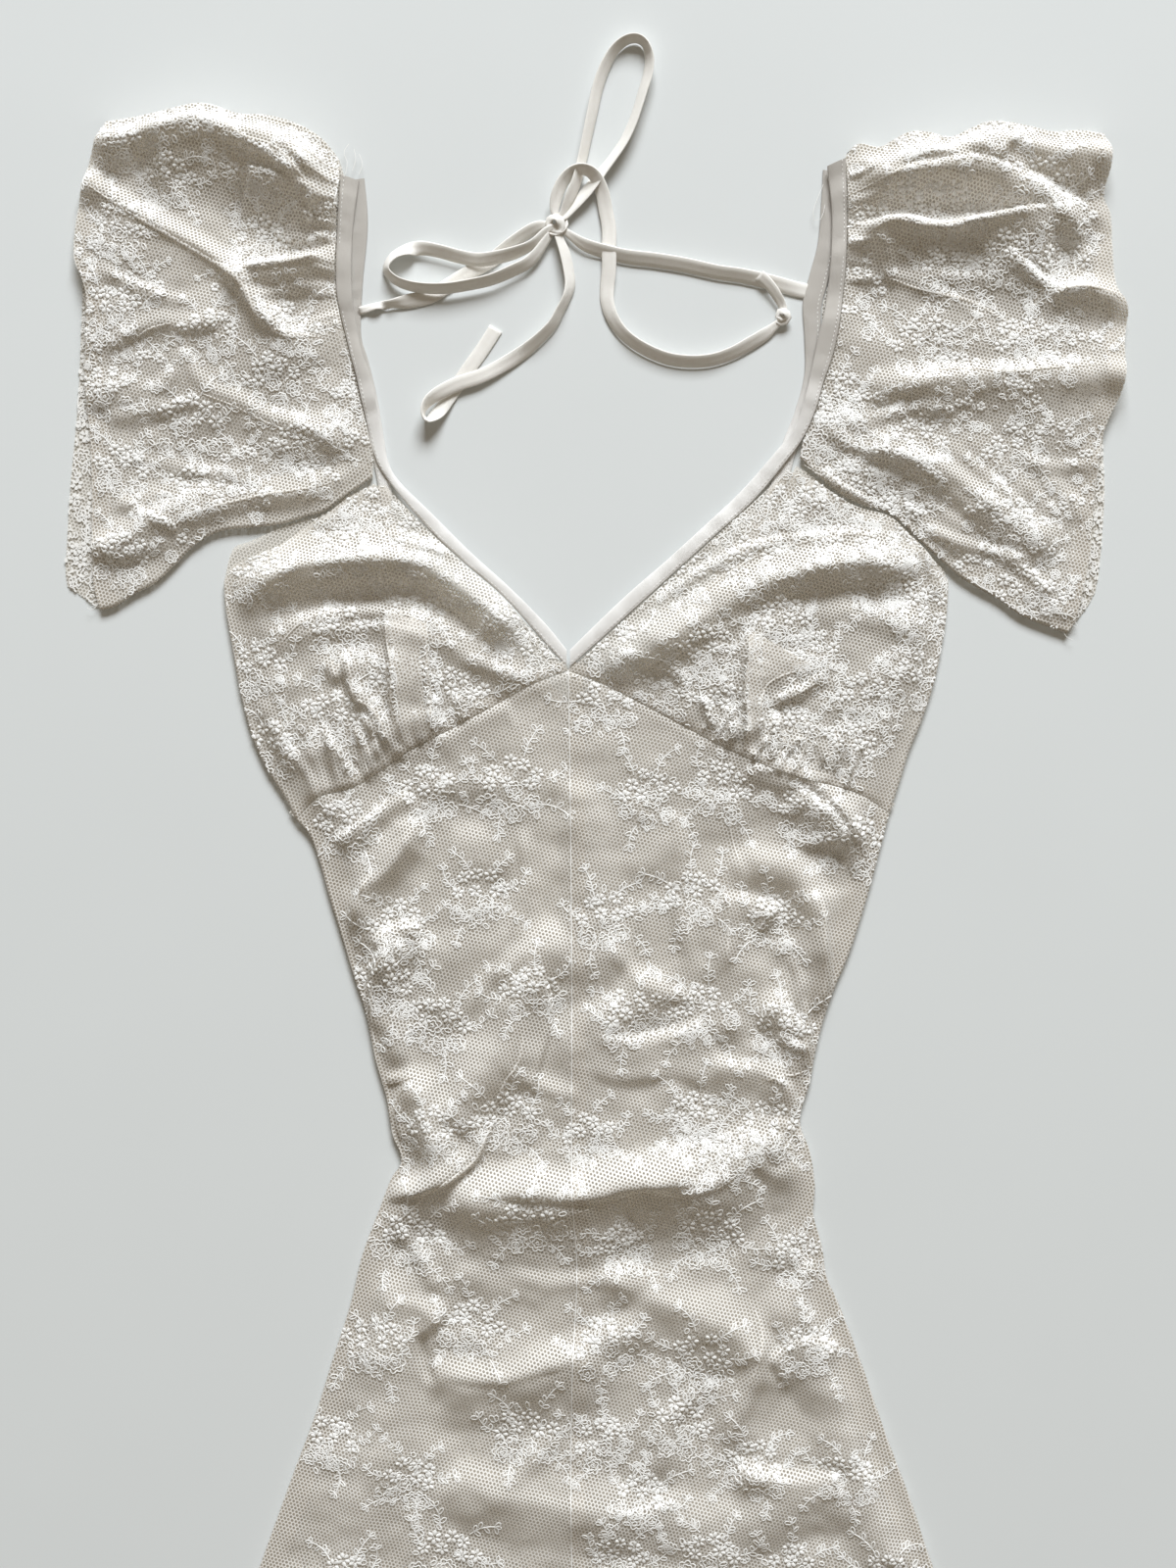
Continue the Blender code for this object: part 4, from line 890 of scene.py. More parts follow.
# Looks, light and camera, with places and sizes in metres
NET_DRIFT = 0.7
NET_DRIFT_SCALE = 0.22
NET_COVER_SOFT = 0.2
NET_GRAIN_SOFT = 0.9
LACE_GLOW_SHARE = 0.1
THREAD_GRAIN = 900
TABLE_GRAIN = 9
COTTON_GRAIN = 0.35
COTTON_ROUGH = 0.75
COTTON_RIBS = 1.2
COTTON_BUMP = 0.5
BINDING_COLOUR = (0.90, 0.88, 0.85, 1)
BINDING_SHADE = (0.84, 0.81, 0.77, 1)
# Painted shade at the shoulder ends of the bindings: its colour, then the span along +Y in metres over which it comes
# in
BINDING_PAINTED_SHADE = (0.54, 0.505, 0.46, 1)
PAINTED_SHADE_FROM = 0.4
PAINTED_SHADE_TO = 0.47
TAPE_COLOUR = (0.95, 0.92, 0.87, 1)
TAPE_SHADE = (0.90, 0.86, 0.79, 1)
TABLE_SIZE = 14
TABLE_GAP = 0.0002
WINDOW_AIM = (0, 0.15, 0)
SENSOR_WIDTH = 36
NET_THREAD = -0.3
NET_SLANT = 1.0
NET_COLOUR = (0.86, 0.835, 0.795, 1)
# Painted shade in the holes of the net: its colour, then how much of each hole it covers
NET_PAINTED_SHADE = (0.55, 0.495, 0.425, 1)
NET_PAINTED_SHADE_COVER = 0.4
NET_GLOW = (0.84, 0.74, 0.56, 1)
NET_GLOW_SHARE = 0.2
LACE_COLOUR = (0.95, 0.94, 0.92, 1)
LACE_SHADE = (0.90, 0.88, 0.84, 1)
LACE_GLOW = (0.96, 0.90, 0.80, 1)
TABLE_COLOUR = (0.70, 0.715, 0.705, 1)
TABLE_SHADE = (0.68, 0.695, 0.685, 1)
WINDOW_PLACE = (0.9, 7.9, 4.6)
WINDOW_SIZE = (4.6, 3.1)
WINDOW_POWER = 1330
WINDOW_COLOUR = (0.90, 0.95, 1.0)
ROOM_COLOUR = (1.0, 0.87, 0.69, 1)
ROOM_LIGHT = 0.225
CAMERA_HEIGHT = 1.55
CAMERA_MIDDLE = (-0.0064, 0.2088)
FRAME_HEIGHT = 0.928
CLOTH_LEVEL = 0.004


# Lines and places

def smooth(places, steps=8):
    """Points along a Catmull-Rom curve through the places, one row each."""
    places = np.array(places, float)
    before = np.vstack([places[:1], places[:-2]])
    start, end = places[:-1], places[1:]
    after = np.vstack([places[2:], places[-1:]])
    share = (np.arange(steps) / steps)[None, :, None]
    b, s, e, a = (part[:, None, :] for part in (before, start, end, after))
    points = 0.5 * (
        2 * s + (e - b) * share + (2 * b - 5 * s + 4 * e - a) * share ** 2
        + (3 * s - b - 3 * e + a) * share ** 3
    )
    return np.vstack([points.reshape(-1, places.shape[1]), places[-1:]])


def spaced(places, count):
    """That many points, evenly spaced along the smooth curve through the places."""
    line = smooth(places)
    reach = np.concatenate([[0], np.cumsum(np.linalg.norm(np.diff(line[:, :2], axis=0), axis=1))])
    wanted = np.linspace(0, reach[-1], count)
    return np.column_stack([np.interp(wanted, reach, column) for column in line.T])


def length_of(line):
    """The length of a chain of points."""
    return float(np.linalg.norm(np.diff(np.array(line, float), axis=0), axis=1).sum())


def moved(places, across, up=0):
    """The same places moved across and up."""
    return [(x + across, y + up) for x, y in places]


def cloth_side(table, start, stop):
    """The cloth side places of some rows of a binding table."""
    return [(row[2], row[3]) for row in table[start:stop]]


def soft_step(value):
    """0 below 0, 1 above 1 and a smooth rise between them."""
    value = np.clip(value, 0, 1)
    return value * value * (3 - 2 * value)


def nearest_on(places, line):
    """The distance of each place from a line, its side (1 is left), its share and its offset."""
    line = np.array(line, float)
    lengths = np.linalg.norm(np.diff(line, axis=0), axis=1)
    passed = np.concatenate([[0], np.cumsum(lengths)])
    best = np.full(len(places), np.inf)
    side = np.ones(len(places))
    share = np.zeros(len(places))
    offset = np.zeros((len(places), 2))
    for index, (start, end) in enumerate(zip(line, line[1:])):
        run = end - start
        reach = places - start
        part = np.clip(reach @ run / max(run @ run, 1e-9), 0, 1)
        away = reach - part[:, None] * run
        distance = np.hypot(away[:, 0], away[:, 1])
        closer = distance < best
        best[closer] = distance[closer]
        offset[closer] = away[closer]
        turn = run[0] * reach[:, 1] - run[1] * reach[:, 0]
        side[closer] = np.where(turn[closer] >= 0, 1, -1)
        share[closer] = (passed[index] + part[closer] * lengths[index]) / passed[-1]
    return best, side, share, offset


def close_to(places, route, reach):
    """Which places lie in the box of a route, widened by its reach."""
    route = np.array(route, float)
    low, high = route.min(axis=0) - reach, route.max(axis=0) + reach
    return np.all((places > low) & (places < high), axis=1)


def inside(places, outline):
    """Which places lie inside a closed outline."""
    found = np.zeros(len(places), bool)
    for (x0, y0), (x1, y1) in zip(outline, np.roll(outline, -1, axis=0)):
        if y0 == y1:
            continue
        crosses = (places[:, 1] > min(y0, y1)) & (places[:, 1] <= max(y0, y1))
        at = x0 + (places[:, 1] - y0) * (x1 - x0) / (y1 - y0)
        found ^= crosses & (places[:, 0] < at)
    return found


# The heights of the cloth

def neck_side(distance, offset):
    """1 where a place lies on the neck side of a route, 0 on the hem side, soft between."""
    lean = (offset @ np.array(NECK_WAY)) / np.maximum(distance, NECK_SOFT)
    return np.clip(0.5 + 0.5 * lean, 0, 1)


def ends(share, fade):
    """1 along the middle of a route, falling to 0 at both of its ends."""
    return soft_step(share / fade) * soft_step((1 - share) / fade)


def ridge_height(places, ridges):
    """The height of the main ridges, the highest of them leading, steeper towards the neck."""
    total = np.zeros(len(places))
    for half_width, height, route in ridges:
        near = close_to(places, route, RIDGE_REACH_HEM * half_width)
        distance, _, _, offset = nearest_on(places[near], smooth(route, ROUTE_STEPS))
        steeper = (RIDGE_REACH_NECK - RIDGE_REACH_HEM) * neck_side(distance, offset)
        reach = half_width * (RIDGE_REACH_HEM + steeper)
        rise = np.where(distance < reach, 0.5 + 0.5 * np.cos(math.pi * distance / reach), 0)
        total[near] += (height * rise) ** 3
    return np.cbrt(total)


def crease_height(places, creases):
    """The added height of finer creases, each steeper on one side and fading at its ends."""
    total = np.zeros(len(places))
    for height, left, right, flat, route in creases:
        near = close_to(places, route, flat + max(left, right))
        distance, side, share, _ = nearest_on(places[near], smooth(route, ROUTE_STEPS))
        rise = 1 - soft_step((distance - flat) / np.where(side > 0, left, right))
        total[near] += height * rise * ends(share, CREASE_FADE)
    return total


def slope_height(places, slopes):
    """The height of long slopes, each rounded at its crest and even down to its foot."""
    total = np.zeros(len(places))
    for height, neck, hem, route in slopes:
        near = close_to(places, route, max(neck, hem))
        distance, _, share, offset = nearest_on(places[near], smooth(route, ROUTE_STEPS))
        reach = hem + (neck - hem) * neck_side(distance, offset)
        part = np.clip(distance / reach, 0, 1)
        rise = 1 - part - SLOPE_HOLLOW * part * (1 - part) ** 2 * 4 * (part - 0.5)
        total[near] = np.maximum(total[near], height * rise * ends(share, SLOPE_FADE))
    return total


def fold_height(places, ridges, slopes):
    """The height of ridges and slopes together, the higher of them leading."""
    return np.cbrt(ridge_height(places, ridges) ** 3 + slope_height(places, slopes) ** 3)


def cloth_noise(places, size, seed):
    """Smooth noise between -1 and 1 with bumps about that size."""
    table = np.random.default_rng(seed).uniform(-1, 1, (NOISE_CELLS, NOISE_CELLS))
    spot = places / size + NOISE_SHIFT
    cell = np.floor(spot).astype(int)
    part = soft_step(spot - cell)
    x, y = cell[:, 0] % NOISE_CELLS, cell[:, 1] % NOISE_CELLS
    x2, y2 = (x + 1) % NOISE_CELLS, (y + 1) % NOISE_CELLS
    near = table[x, y] * (1 - part[:, 0]) + table[x2, y] * part[:, 0]
    far = table[x, y2] * (1 - part[:, 0]) + table[x2, y2] * part[:, 0]
    return near * (1 - part[:, 1]) + far * part[:, 1]


def wrinkles(places, seed):
    """Small soft dents all over the cloth."""
    return sum(height * cloth_noise(places + shift, (across, along), seed + own_seed)
               for across, along, height, shift, own_seed in WRINKLES)


def edge_distance(places, edges):
    """The distance from the nearest of some edges."""
    return np.min([nearest_on(places, edge)[0] for edge in edges], axis=0)


def front_top(places):
    """The height of the front net, which lies on the solids' form with finer creases."""
    inset = edge_distance(places, BODY_EDGES)
    held = soft_step(inset / EDGE_SOFT)
    wave = HEM_WAVE * (0.5 + 0.5 * np.sin(2 * math.pi * places[:, 0] / HEM_WAVE_LENGTH))
    wave *= soft_step((HEM_TOP - places[:, 1]) / HEM_WAVE_REACH)
    folds = fold_height(places, FRONT_RIDGES + CUP_RIDGES, FRONT_SLOPES + CUP_SLOPES)
    creases = crease_height(places, FRONT_CREASES + CUP_CREASES + SEAM_GATHERS)
    finer = creases * soft_step(inset / FRONT_CREASE_FADE) + wrinkles(places, WRINKLE_SEED) * held
    pinch = SEAM_PINCH * (1 - soft_step(edge_distance(places, BUST_LINES) / SEAM_PINCH_REACH))
    lift = (FRONT_EASE + wave + folds) * held + finer - pinch
    return FRONT_FLOOR + CLOTH + np.maximum(lift, LEAST_FRONT_LIFT)


def sleeve_top(places):
    """The height of the upper net of the sleeves."""
    from_top, from_bottom = edge_distance(places, SLEEVE_TOPS), edge_distance(places, SLEEVE_BOTTOMS)
    inset, edge = np.minimum(from_top, from_bottom / 2), np.minimum(from_top, from_bottom)
    shoulder = edge_distance(places, SHOULDERS)
    held = SHOULDER_HOLD + (1 - SHOULDER_HOLD) * soft_step(shoulder / SLEEVE_EDGE_SOFT)
    puff = fold_height(places, SLEEVE_RIDGES, SLEEVE_SLOPES)
    puff *= soft_step(inset / SLEEVE_EDGE_REACH) * held
    creases = crease_height(places, SLEEVE_CREASES + HEAD_GATHERS)
    finer = creases * soft_step(edge / SLEEVE_CREASE_FADE) * soft_step(shoulder / SHOULDER_FADE)
    finer += wrinkles(places, WRINKLE_SEED + 3) * soft_step(edge / SLEEVE_WRINKLE_FADE)
    return 2 * CLOTH + SLEEVE_EASE + np.maximum(puff + finer, LEAST_SLEEVE_LIFT)


def gathers(line, start, stop, spacing, lengths, height, seed):
    """Short creases that run off a seam, uneven in length, height and spacing."""
    dice = random.Random(seed)
    line = np.array(line)
    count = int(length_of(line) * (stop - start) / spacing)
    found = []
    for index in range(count):
        share = start + (stop - start) * (index + dice.uniform(0.2, 0.8)) / count
        spot = min(int(share * (len(line) - 1)), len(line) - 2)
        run = line[spot + 1] - line[spot]
        run = run / np.linalg.norm(run)
        across = np.array([-run[1], run[0]])
        length = dice.uniform(*lengths)
        bend = dice.uniform(-GATHER_BEND, GATHER_BEND) * length
        route = [line[spot] + across * length * part + run * bend * part ** 2
                 for part in GATHER_PARTS]
        rise = height * dice.uniform(*GATHER_RISE)
        found.append((rise, dice.uniform(*GATHER_REACH), dice.uniform(*GATHER_REACH), 0,
                      tuple(tuple(place) for place in route)))
    return tuple(found)


# Meshes

def mesh_object(name, points, faces, material):
    """An object of triangles or quads at points in millimetres."""
    mesh = bpy.data.meshes.new(name)
    mesh.vertices.add(len(points))
    mesh.vertices.foreach_set("co", (np.asarray(points, float) * MM).ravel())
    mesh.loops.add(faces.size)
    mesh.loops.foreach_set("vertex_index", faces.ravel())
    mesh.polygons.add(len(faces))
    mesh.polygons.foreach_set("loop_start", np.arange(0, faces.size, faces.shape[1]))
    mesh.polygons.foreach_set("use_smooth", np.ones(len(faces), bool))
    mesh.update(calc_edges=True)
    mesh.validate()
    mesh.materials.append(material)
    made = bpy.data.objects.new(name, mesh)
    bpy.context.scene.collection.objects.link(made)
    return made


def grid_faces(rows, columns, closed=False):
    """Quads over a grid of vertices, wrapped round across it where closed."""
    index = np.arange(rows * columns).reshape(rows, columns)
    if closed:
        index = np.hstack([index, index[:, :1]])
    corners = (index[:-1, :-1], index[1:, :-1], index[1:, 1:], index[:-1, 1:])
    return np.stack([corner.ravel() for corner in corners], axis=1)


def patch(head, foot, near, far, step):
    """A grid of places on the four-sided panel whose edges are these curves."""
    across = max(int((length_of(head) + length_of(foot)) / 2 / step), 4)
    along = max(int((length_of(near) + length_of(far)) / 2 / step), 4)
    u = np.linspace(0, 1, across + 1)[None, :, None]
    v = np.linspace(0, 1, along + 1)[:, None, None]
    top, low = spaced(head, across + 1)[None], spaced(foot, across + 1)[None]
    left, right = spaced(near, along + 1)[:, None], spaced(far, along + 1)[:, None]
    corners = (1 - v) * ((1 - u) * top[:, :1] + u * top[:, -1:])
    corners = corners + v * ((1 - u) * low[:, :1] + u * low[:, -1:])
    return (1 - v) * top + v * low + (1 - u) * left + u * right - corners


def weave(made, across_along, tighter=0):
    """Gives the net its metric coordinates and how much tighter it looks where it is steep."""
    mesh = made.data
    normals = np.zeros(len(mesh.vertices) * 3)
    mesh.vertices.foreach_get("normal", normals)
    upright = np.abs(normals.reshape(-1, 3)[:, 2])
    tight = np.clip(1 / np.maximum(upright, LEAST_UPRIGHT) - 1, 0, MOST_TIGHT)
    values = np.column_stack([across_along, tight + tighter])
    attribute = mesh.attributes.new("weave", "FLOAT_VECTOR", "POINT")
    attribute.data.foreach_set("vector", values.astype(np.float32).ravel())


def facing(points, faces, closed=False):
    """The faces turned so that most of them look up, or outwards where the cloth is closed."""
    a, b, c = (points[faces[:, index]] for index in (0, 1, 2))
    upward = np.cross(b - a, c - a)[:, 2]
    if closed:
        middle = points[faces].mean(axis=1)[:, 2]
        upward = upward * (middle - middle.mean())
    return faces[:, ::-1].copy() if upward.sum() < 0 else faces


def laid(places, top, lift=0):
    """A grid of places with their heights on the cloth."""
    heights = top(places.reshape(-1, 2)).reshape(places.shape[:2] + (1,))
    return np.concatenate([places, heights + lift], axis=2)


def net_mesh(name, grid, shift=0, tighter=0, closed=False):
    """Net over a grid of points, its weave following their places, moved by the shift."""
    points = grid.reshape(-1, 3)
    faces = grid_faces(*grid.shape[:2], closed)
    made = mesh_object(name, points, facing(points, faces, closed), NET)
    weave(made, points[:, :2] + shift, tighter)
    return made


def rim_of(places):
    """The outline of a grid of places, round all four of its sides."""
    return np.vstack([places[0], places[1:, -1], places[-1, ::-1], places[::-1, 0]])


def sideways(path):
    """The direction across a path at each of its points."""
    run = np.gradient(path, axis=0)
    run /= np.linalg.norm(run, axis=1, keepdims=True)
    return np.column_stack([-run[:, 1], run[:, 0]])


# Thread lace

def daisy(x, y, radius, petals, turn):
    """A small daisy of puffed petals, each one short thick stroke, round a dark eye."""
    reach, width = radius * np.array(PETAL_REACH), radius * np.array(PETAL_WIDTH)
    strokes = []
    for petal in range(petals):
        angle = turn + 2 * math.pi * petal / petals
        strokes.append(np.column_stack([
            x + reach * math.cos(angle), y + reach * math.sin(angle), width,
        ]))
    return strokes


def scallops(x, y, radius, lobes, width, turn):
    """A closed ring of thread with rounded petals and sharp dents between them."""
    angle = np.linspace(0, 2 * math.pi, 4 * lobes + 1)
    reach = radius * (SCALLOP_DENT + SCALLOP_BULGE * np.abs(np.sin(lobes * angle / 2)))
    return np.column_stack([x + reach * np.cos(angle + turn), y + reach * np.sin(angle + turn),
                            np.full(len(angle), width)])


def rose(x, y, radius, turn):
    """An open rose: a ring of petals, a smaller one inside it and a curl in the middle."""
    angle = turn + np.linspace(0, 6, CURL_POINTS)
    reach = radius * np.linspace(*CURL_REACH, CURL_POINTS)
    curl = np.column_stack([x + reach * np.cos(angle), y + reach * np.sin(angle),
                            np.full(CURL_POINTS, FINE_THREAD)])
    outer = scallops(x, y, radius, 7, ROSE_THREAD, turn)
    inner = scallops(x, y, radius * ROSE_INNER, 5, FINE_THREAD, turn + 0.5)
    return [outer, inner, curl]


def leaf(x, y, length, width, angle):
    """The outline of a leaf as a loop of thread."""
    turn = np.linspace(0, 2 * math.pi, LEAF_POINTS)
    along = length * 0.5 * (1 - np.cos(turn))
    across = width * 0.5 * np.sin(turn)
    return np.column_stack([
        x + along * math.cos(angle) - across * math.sin(angle),
        y + along * math.sin(angle) + across * math.cos(angle),
        np.full(LEAF_POINTS, FINE_THREAD),
    ])


def sprig(x, y, length, angle, bend, buds, dice):
    """A thin bending stem with a small open leaf in pairs along it and three at its tip."""
    share = np.linspace(0, 1, STEM_POINTS)
    heading = angle + bend * share
    step = length / (STEM_POINTS - 1)
    stem_x = x + np.concatenate([[0], np.cumsum(step * np.cos(heading[:-1]))])
    stem_y = y + np.concatenate([[0], np.cumsum(step * np.sin(heading[:-1]))])
    strokes = [np.column_stack([stem_x, stem_y, np.full(STEM_POINTS, STEM_THREAD)])]
    tips = [(STEM_POINTS - 1, lean) for lean in (-1.1, 0, 1.1)]
    tips += [(int(1 + 3.9 * bud / buds), (0.95 if bud % 2 else -0.95)) for bud in range(buds)]
    for spot, lean in tips:
        toward = heading[spot] + lean + dice.uniform(-0.25, 0.25)
        strokes.append(leaf(stem_x[spot], stem_y[spot], dice.uniform(*LEAF_LENGTH),
                            dice.uniform(*LEAF_WIDTH), toward))
    return strokes


BOUQUET_DAISIES = ((-15, 5), (-7, 11), (1, 14), (9, 11), (3, 5), (-8, 3), (13, 3))
BOUQUET_ROSES = ((-10, -10), (3, -12), (13, -8), (-2, -3))
BOUQUET_SPRIGS = (
    (-8, 15, 15, 2.3, 0.7, 4), (6, 15, 15, 1.3, -0.6, 4), (15, 5, 14, 0.5, 0.8, 4),
    (-17, 2, 14, 3.0, -0.8, 4), (9, -15, 12, -1.0, -0.7, 3), (-14, -12, 13, -2.7, 0.6, 3),
)


def bouquet(dice, full):
    """One bouquet of thread round its own middle, each a little different."""
    strokes = []

    def shaken(place, reach=1.6):
        return (place[0] + dice.uniform(-reach, reach), place[1] + dice.uniform(-reach, reach))

    for place in BOUQUET_DAISIES[:7 if full else 4]:
        strokes += daisy(*shaken(place), dice.uniform(3.3, 3.9), 6, dice.uniform(0, 6))
    for place in BOUQUET_ROSES[:4 if full else 1]:
        strokes += rose(*shaken(place, 2.4), dice.uniform(4.4, 5.6), dice.uniform(0, 6))
    for x, y, length, angle, bend, buds in BOUQUET_SPRIGS[:6 if full else 3]:
        strokes += sprig(*shaken((x, y)), length * dice.uniform(0.75, 1.2),
                         angle + dice.uniform(-0.35, 0.35), bend * dice.uniform(0.5, 1.4), buds, dice)
    for _ in range(22 if full else 6):
        angle, reach = dice.uniform(0, 6.3), LOOSE_LEAVES_REACH * math.sqrt(dice.uniform(0.04, 1))
        strokes.append(leaf(reach * math.cos(angle), reach * 0.9 * math.sin(angle),
                            dice.uniform(3.2, 4.8), dice.uniform(2.0, 2.9),
                            angle + dice.uniform(-1.2, 1.2)))
    for _ in range(18 if full else 6):
        angle, reach = dice.uniform(0, 6.3), LOOSE_CURLS_REACH * math.sqrt(dice.random())
        turn = dice.uniform(0, 6.3) + np.linspace(0, dice.uniform(2, 4), 5)
        size = dice.uniform(1.2, 2.2)
        strokes.append(np.column_stack([
            reach * math.cos(angle) + size * np.cos(turn), reach * math.sin(angle) + size * np.sin(turn),
            np.full(5, ROSE_THREAD),
        ]))
    return strokes


def scattered(centres, full, seed):
    """Bouquets at their middles, each turned, mirrored and sized a little."""
    dice = random.Random(seed)
    strokes = []
    for x, y in centres:
        angle, flip, size = dice.uniform(-0.45, 0.45), dice.choice((-1, 1)), dice.uniform(0.92, 1.1)
        if not full:
            size *= SMALL_BOUQUET
        turn = np.array([[math.cos(angle), math.sin(angle)], [-math.sin(angle), math.cos(angle)]])
        for stroke in bouquet(dice, full):
            place = (stroke[:, :2] * (flip, 1) * size) @ turn + (x, y)
            strokes.append(np.column_stack([place, stroke[:, 2]]))
    return strokes


def clipped(strokes, outline):
    """The stretches of the strokes that lie inside an outline."""
    places = np.vstack(strokes)[:, :2]
    within = np.split(inside(places, outline), np.cumsum([len(stroke) for stroke in strokes])[:-1])
    kept = []
    for stroke, mask in zip(strokes, within):
        if mask.all():
            kept.append(stroke)
        elif mask.sum() > 1:
            start = int(np.argmax(mask))
            stop = start + int(np.argmin(np.append(mask[start:], False)))
            if stop - start > 1:
                kept.append(stroke[start:stop])
    return kept


def stacked(strokes):
    """The strokes by their number of points: their middles, widths and half widths sideways."""
    groups = {}
    for stroke in strokes:
        groups.setdefault(len(stroke), []).append(stroke)
    for _, group in sorted(groups.items()):
        lines = np.stack(group)
        centre, width = lines[..., :2], lines[..., 2:3]
        run = np.gradient(centre, axis=1)
        run /= np.maximum(np.linalg.norm(run, axis=2, keepdims=True), 1e-6)
        yield centre, width, np.stack([-run[..., 1], run[..., 0]], axis=2) * width / 2


def joined_threads(name, groups, material):
    """One mesh of many threads, each group an array of thread, ring, corner and coordinate."""
    faces, first = [], 0
    for group in groups:
        index = first + np.arange(group[..., 0].size).reshape(group.shape[:3])
        first += index.size
        for side in range(group.shape[2] - 1):
            corners = (index[:, :-1, side], index[:, :-1, side + 1], index[:, 1:, side + 1],
                       index[:, 1:, side])
            faces.append(np.stack([corner.ravel() for corner in corners], axis=1))
    points = np.vstack([group.reshape(-1, 3) for group in groups])
    return mesh_object(name, points, np.vstack(faces), material)


def thread_mesh(name, strokes, top, material, lift=LACE_LIFT, rise=THREAD_RISE):
    """Threads along the strokes, rounded above, lying on the cloth below them."""
    groups = []
    for centre, width, half in stacked(strokes):
        places = np.stack([centre + half, centre, centre - half], axis=2)
        level = top(centre.reshape(-1, 2)).reshape(centre.shape[:2])
        heights = np.repeat(level[..., None], 3, axis=2) + lift
        heights[..., 1] += rise * width[..., 0]
        groups.append(np.concatenate([places, heights[..., None]], axis=3))
    return joined_threads(name, groups, material)


def flat_thread_mesh(name, strokes, level, material):
    """Flat threads of the layers that are only seen through the net above them."""
    dice = np.random.default_rng(LACE_SEED)
    groups = []
    for centre, _, half in stacked(strokes):
        places = np.stack([centre + half, centre - half], axis=2)
        heights = np.full(places.shape[:3] + (1,), level)
        heights += dice.uniform(0, FLAT_LACE_SPREAD, (len(centre), 1, 1, 1))
        groups.append(np.concatenate([places, heights], axis=3))
    return joined_threads(name, groups, material)


# Panels of net

def net_panel(name, head, foot, near, far, step, side):
    """A front panel of net, with a strip down to the back along its sewn side."""
    places = patch(head, foot, near, far, step)
    grid = laid(places, front_top)
    drop = (grid[:, :1] if side == "near" else grid[-1:]).copy()
    drop[..., 2] = CLOTH
    if side == "near":
        grid = np.concatenate([drop, grid], axis=1)
    else:
        grid = np.concatenate([grid, drop], axis=0)
    return net_mesh(name, grid), rim_of(places)


def build_front():
    """The two long front panels and the two cups, each with its outline."""
    pieces = {}
    for side, seam, hem, edge, shift in (
        ("left", BUST_SEAM_LEFT, HEM_LEFT, BODY_SIDE_LEFT, -1),
        ("right", BUST_SEAM_RIGHT, HEM_RIGHT, BODY_SIDE_RIGHT, 1),
    ):
        half_gap = shift * SEAM_GAP / 2
        head = moved(reversed(seam), half_gap, -SEAM_GAP)
        centre = moved(CENTRE_FRONT, half_gap)
        foot = list(hem[:-1]) + [centre[-1]]
        made, rim = net_panel("net_front_" + side, head, foot, [head[0]] + list(edge[1:]),
                              [head[-1]] + centre[1:], FRONT_STEP, "near")
        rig.replaces(made, "front_" + side)
        pieces["front_" + side] = made, rim
    for side, table, first, armhole, edge, seam, shift in (
        ("left", FRONT_BINDING_LEFT, 8, CUP_ARMHOLE_LEFT, CUP_SIDE_LEFT, BUST_SEAM_LEFT, -1),
        ("right", FRONT_BINDING_RIGHT, 9, CUP_ARMHOLE_RIGHT, CUP_SIDE_RIGHT, BUST_SEAM_RIGHT, 1),
    ):
        neck = moved(cloth_side(table, first, len(table) - 1), shift * SEAM_GAP, -SEAM_GAP)
        seam = moved(seam, shift * SEAM_GAP / 2)
        neck = [armhole[0]] + neck + [seam[0]]
        made, rim = net_panel("net_cup_" + side, neck, list(edge[:-1]) + [seam[-1]], armhole, seam,
                              CUP_STEP, "foot")
        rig.replaces(made, "cup_" + side)
        pieces["cup_" + side] = made, rim
    return pieces


def repeat_lace(rows, top, shift=0):
    """The middles of bouquets on the photo's own staggered repeat, for the skirt and the back."""
    across, down = LACE_PITCH
    return tuple(((column + 0.5 * (row % 2)) * across + shift, top - row * down)
                 for row in range(rows) for column in range(-LACE_COLUMNS, LACE_COLUMNS + 1))


def build_back():
    """The back, flat on the table, and its outline."""
    neck_left = moved(cloth_side(BACK_BINDING_LEFT, 7, 13), -SEAM_GAP, -SEAM_GAP)
    neck_right = moved(cloth_side(BACK_BINDING_RIGHT, 9, 15), SEAM_GAP, -SEAM_GAP)
    outline = np.vstack([
        smooth(neck_left)[::-1], smooth(BACK_ARMHOLE_LEFT), smooth(CUP_SIDE_LEFT),
        smooth(BODY_SIDE_LEFT), smooth(HEM_LEFT), smooth(HEM_RIGHT)[::-1],
        smooth(BODY_SIDE_RIGHT)[::-1], smooth(CUP_SIDE_RIGHT)[::-1],
        smooth(BACK_ARMHOLE_RIGHT)[::-1], smooth(neck_right),
    ])
    keep = [0]
    for index in range(1, len(outline)):
        if math.dist(outline[index], outline[keep[-1]]) > CLOSE_POINTS:
            keep.append(index)
    outline = outline[keep]
    points = np.column_stack([outline, np.full(len(outline), CLOTH)])
    made = mesh_object("net_back", points, np.arange(len(points)).reshape(1, -1), NET)
    weave(made, points[:, :2] + BACK_WEAVE_SHIFT)
    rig.replaces(made, "back")
    return made, outline


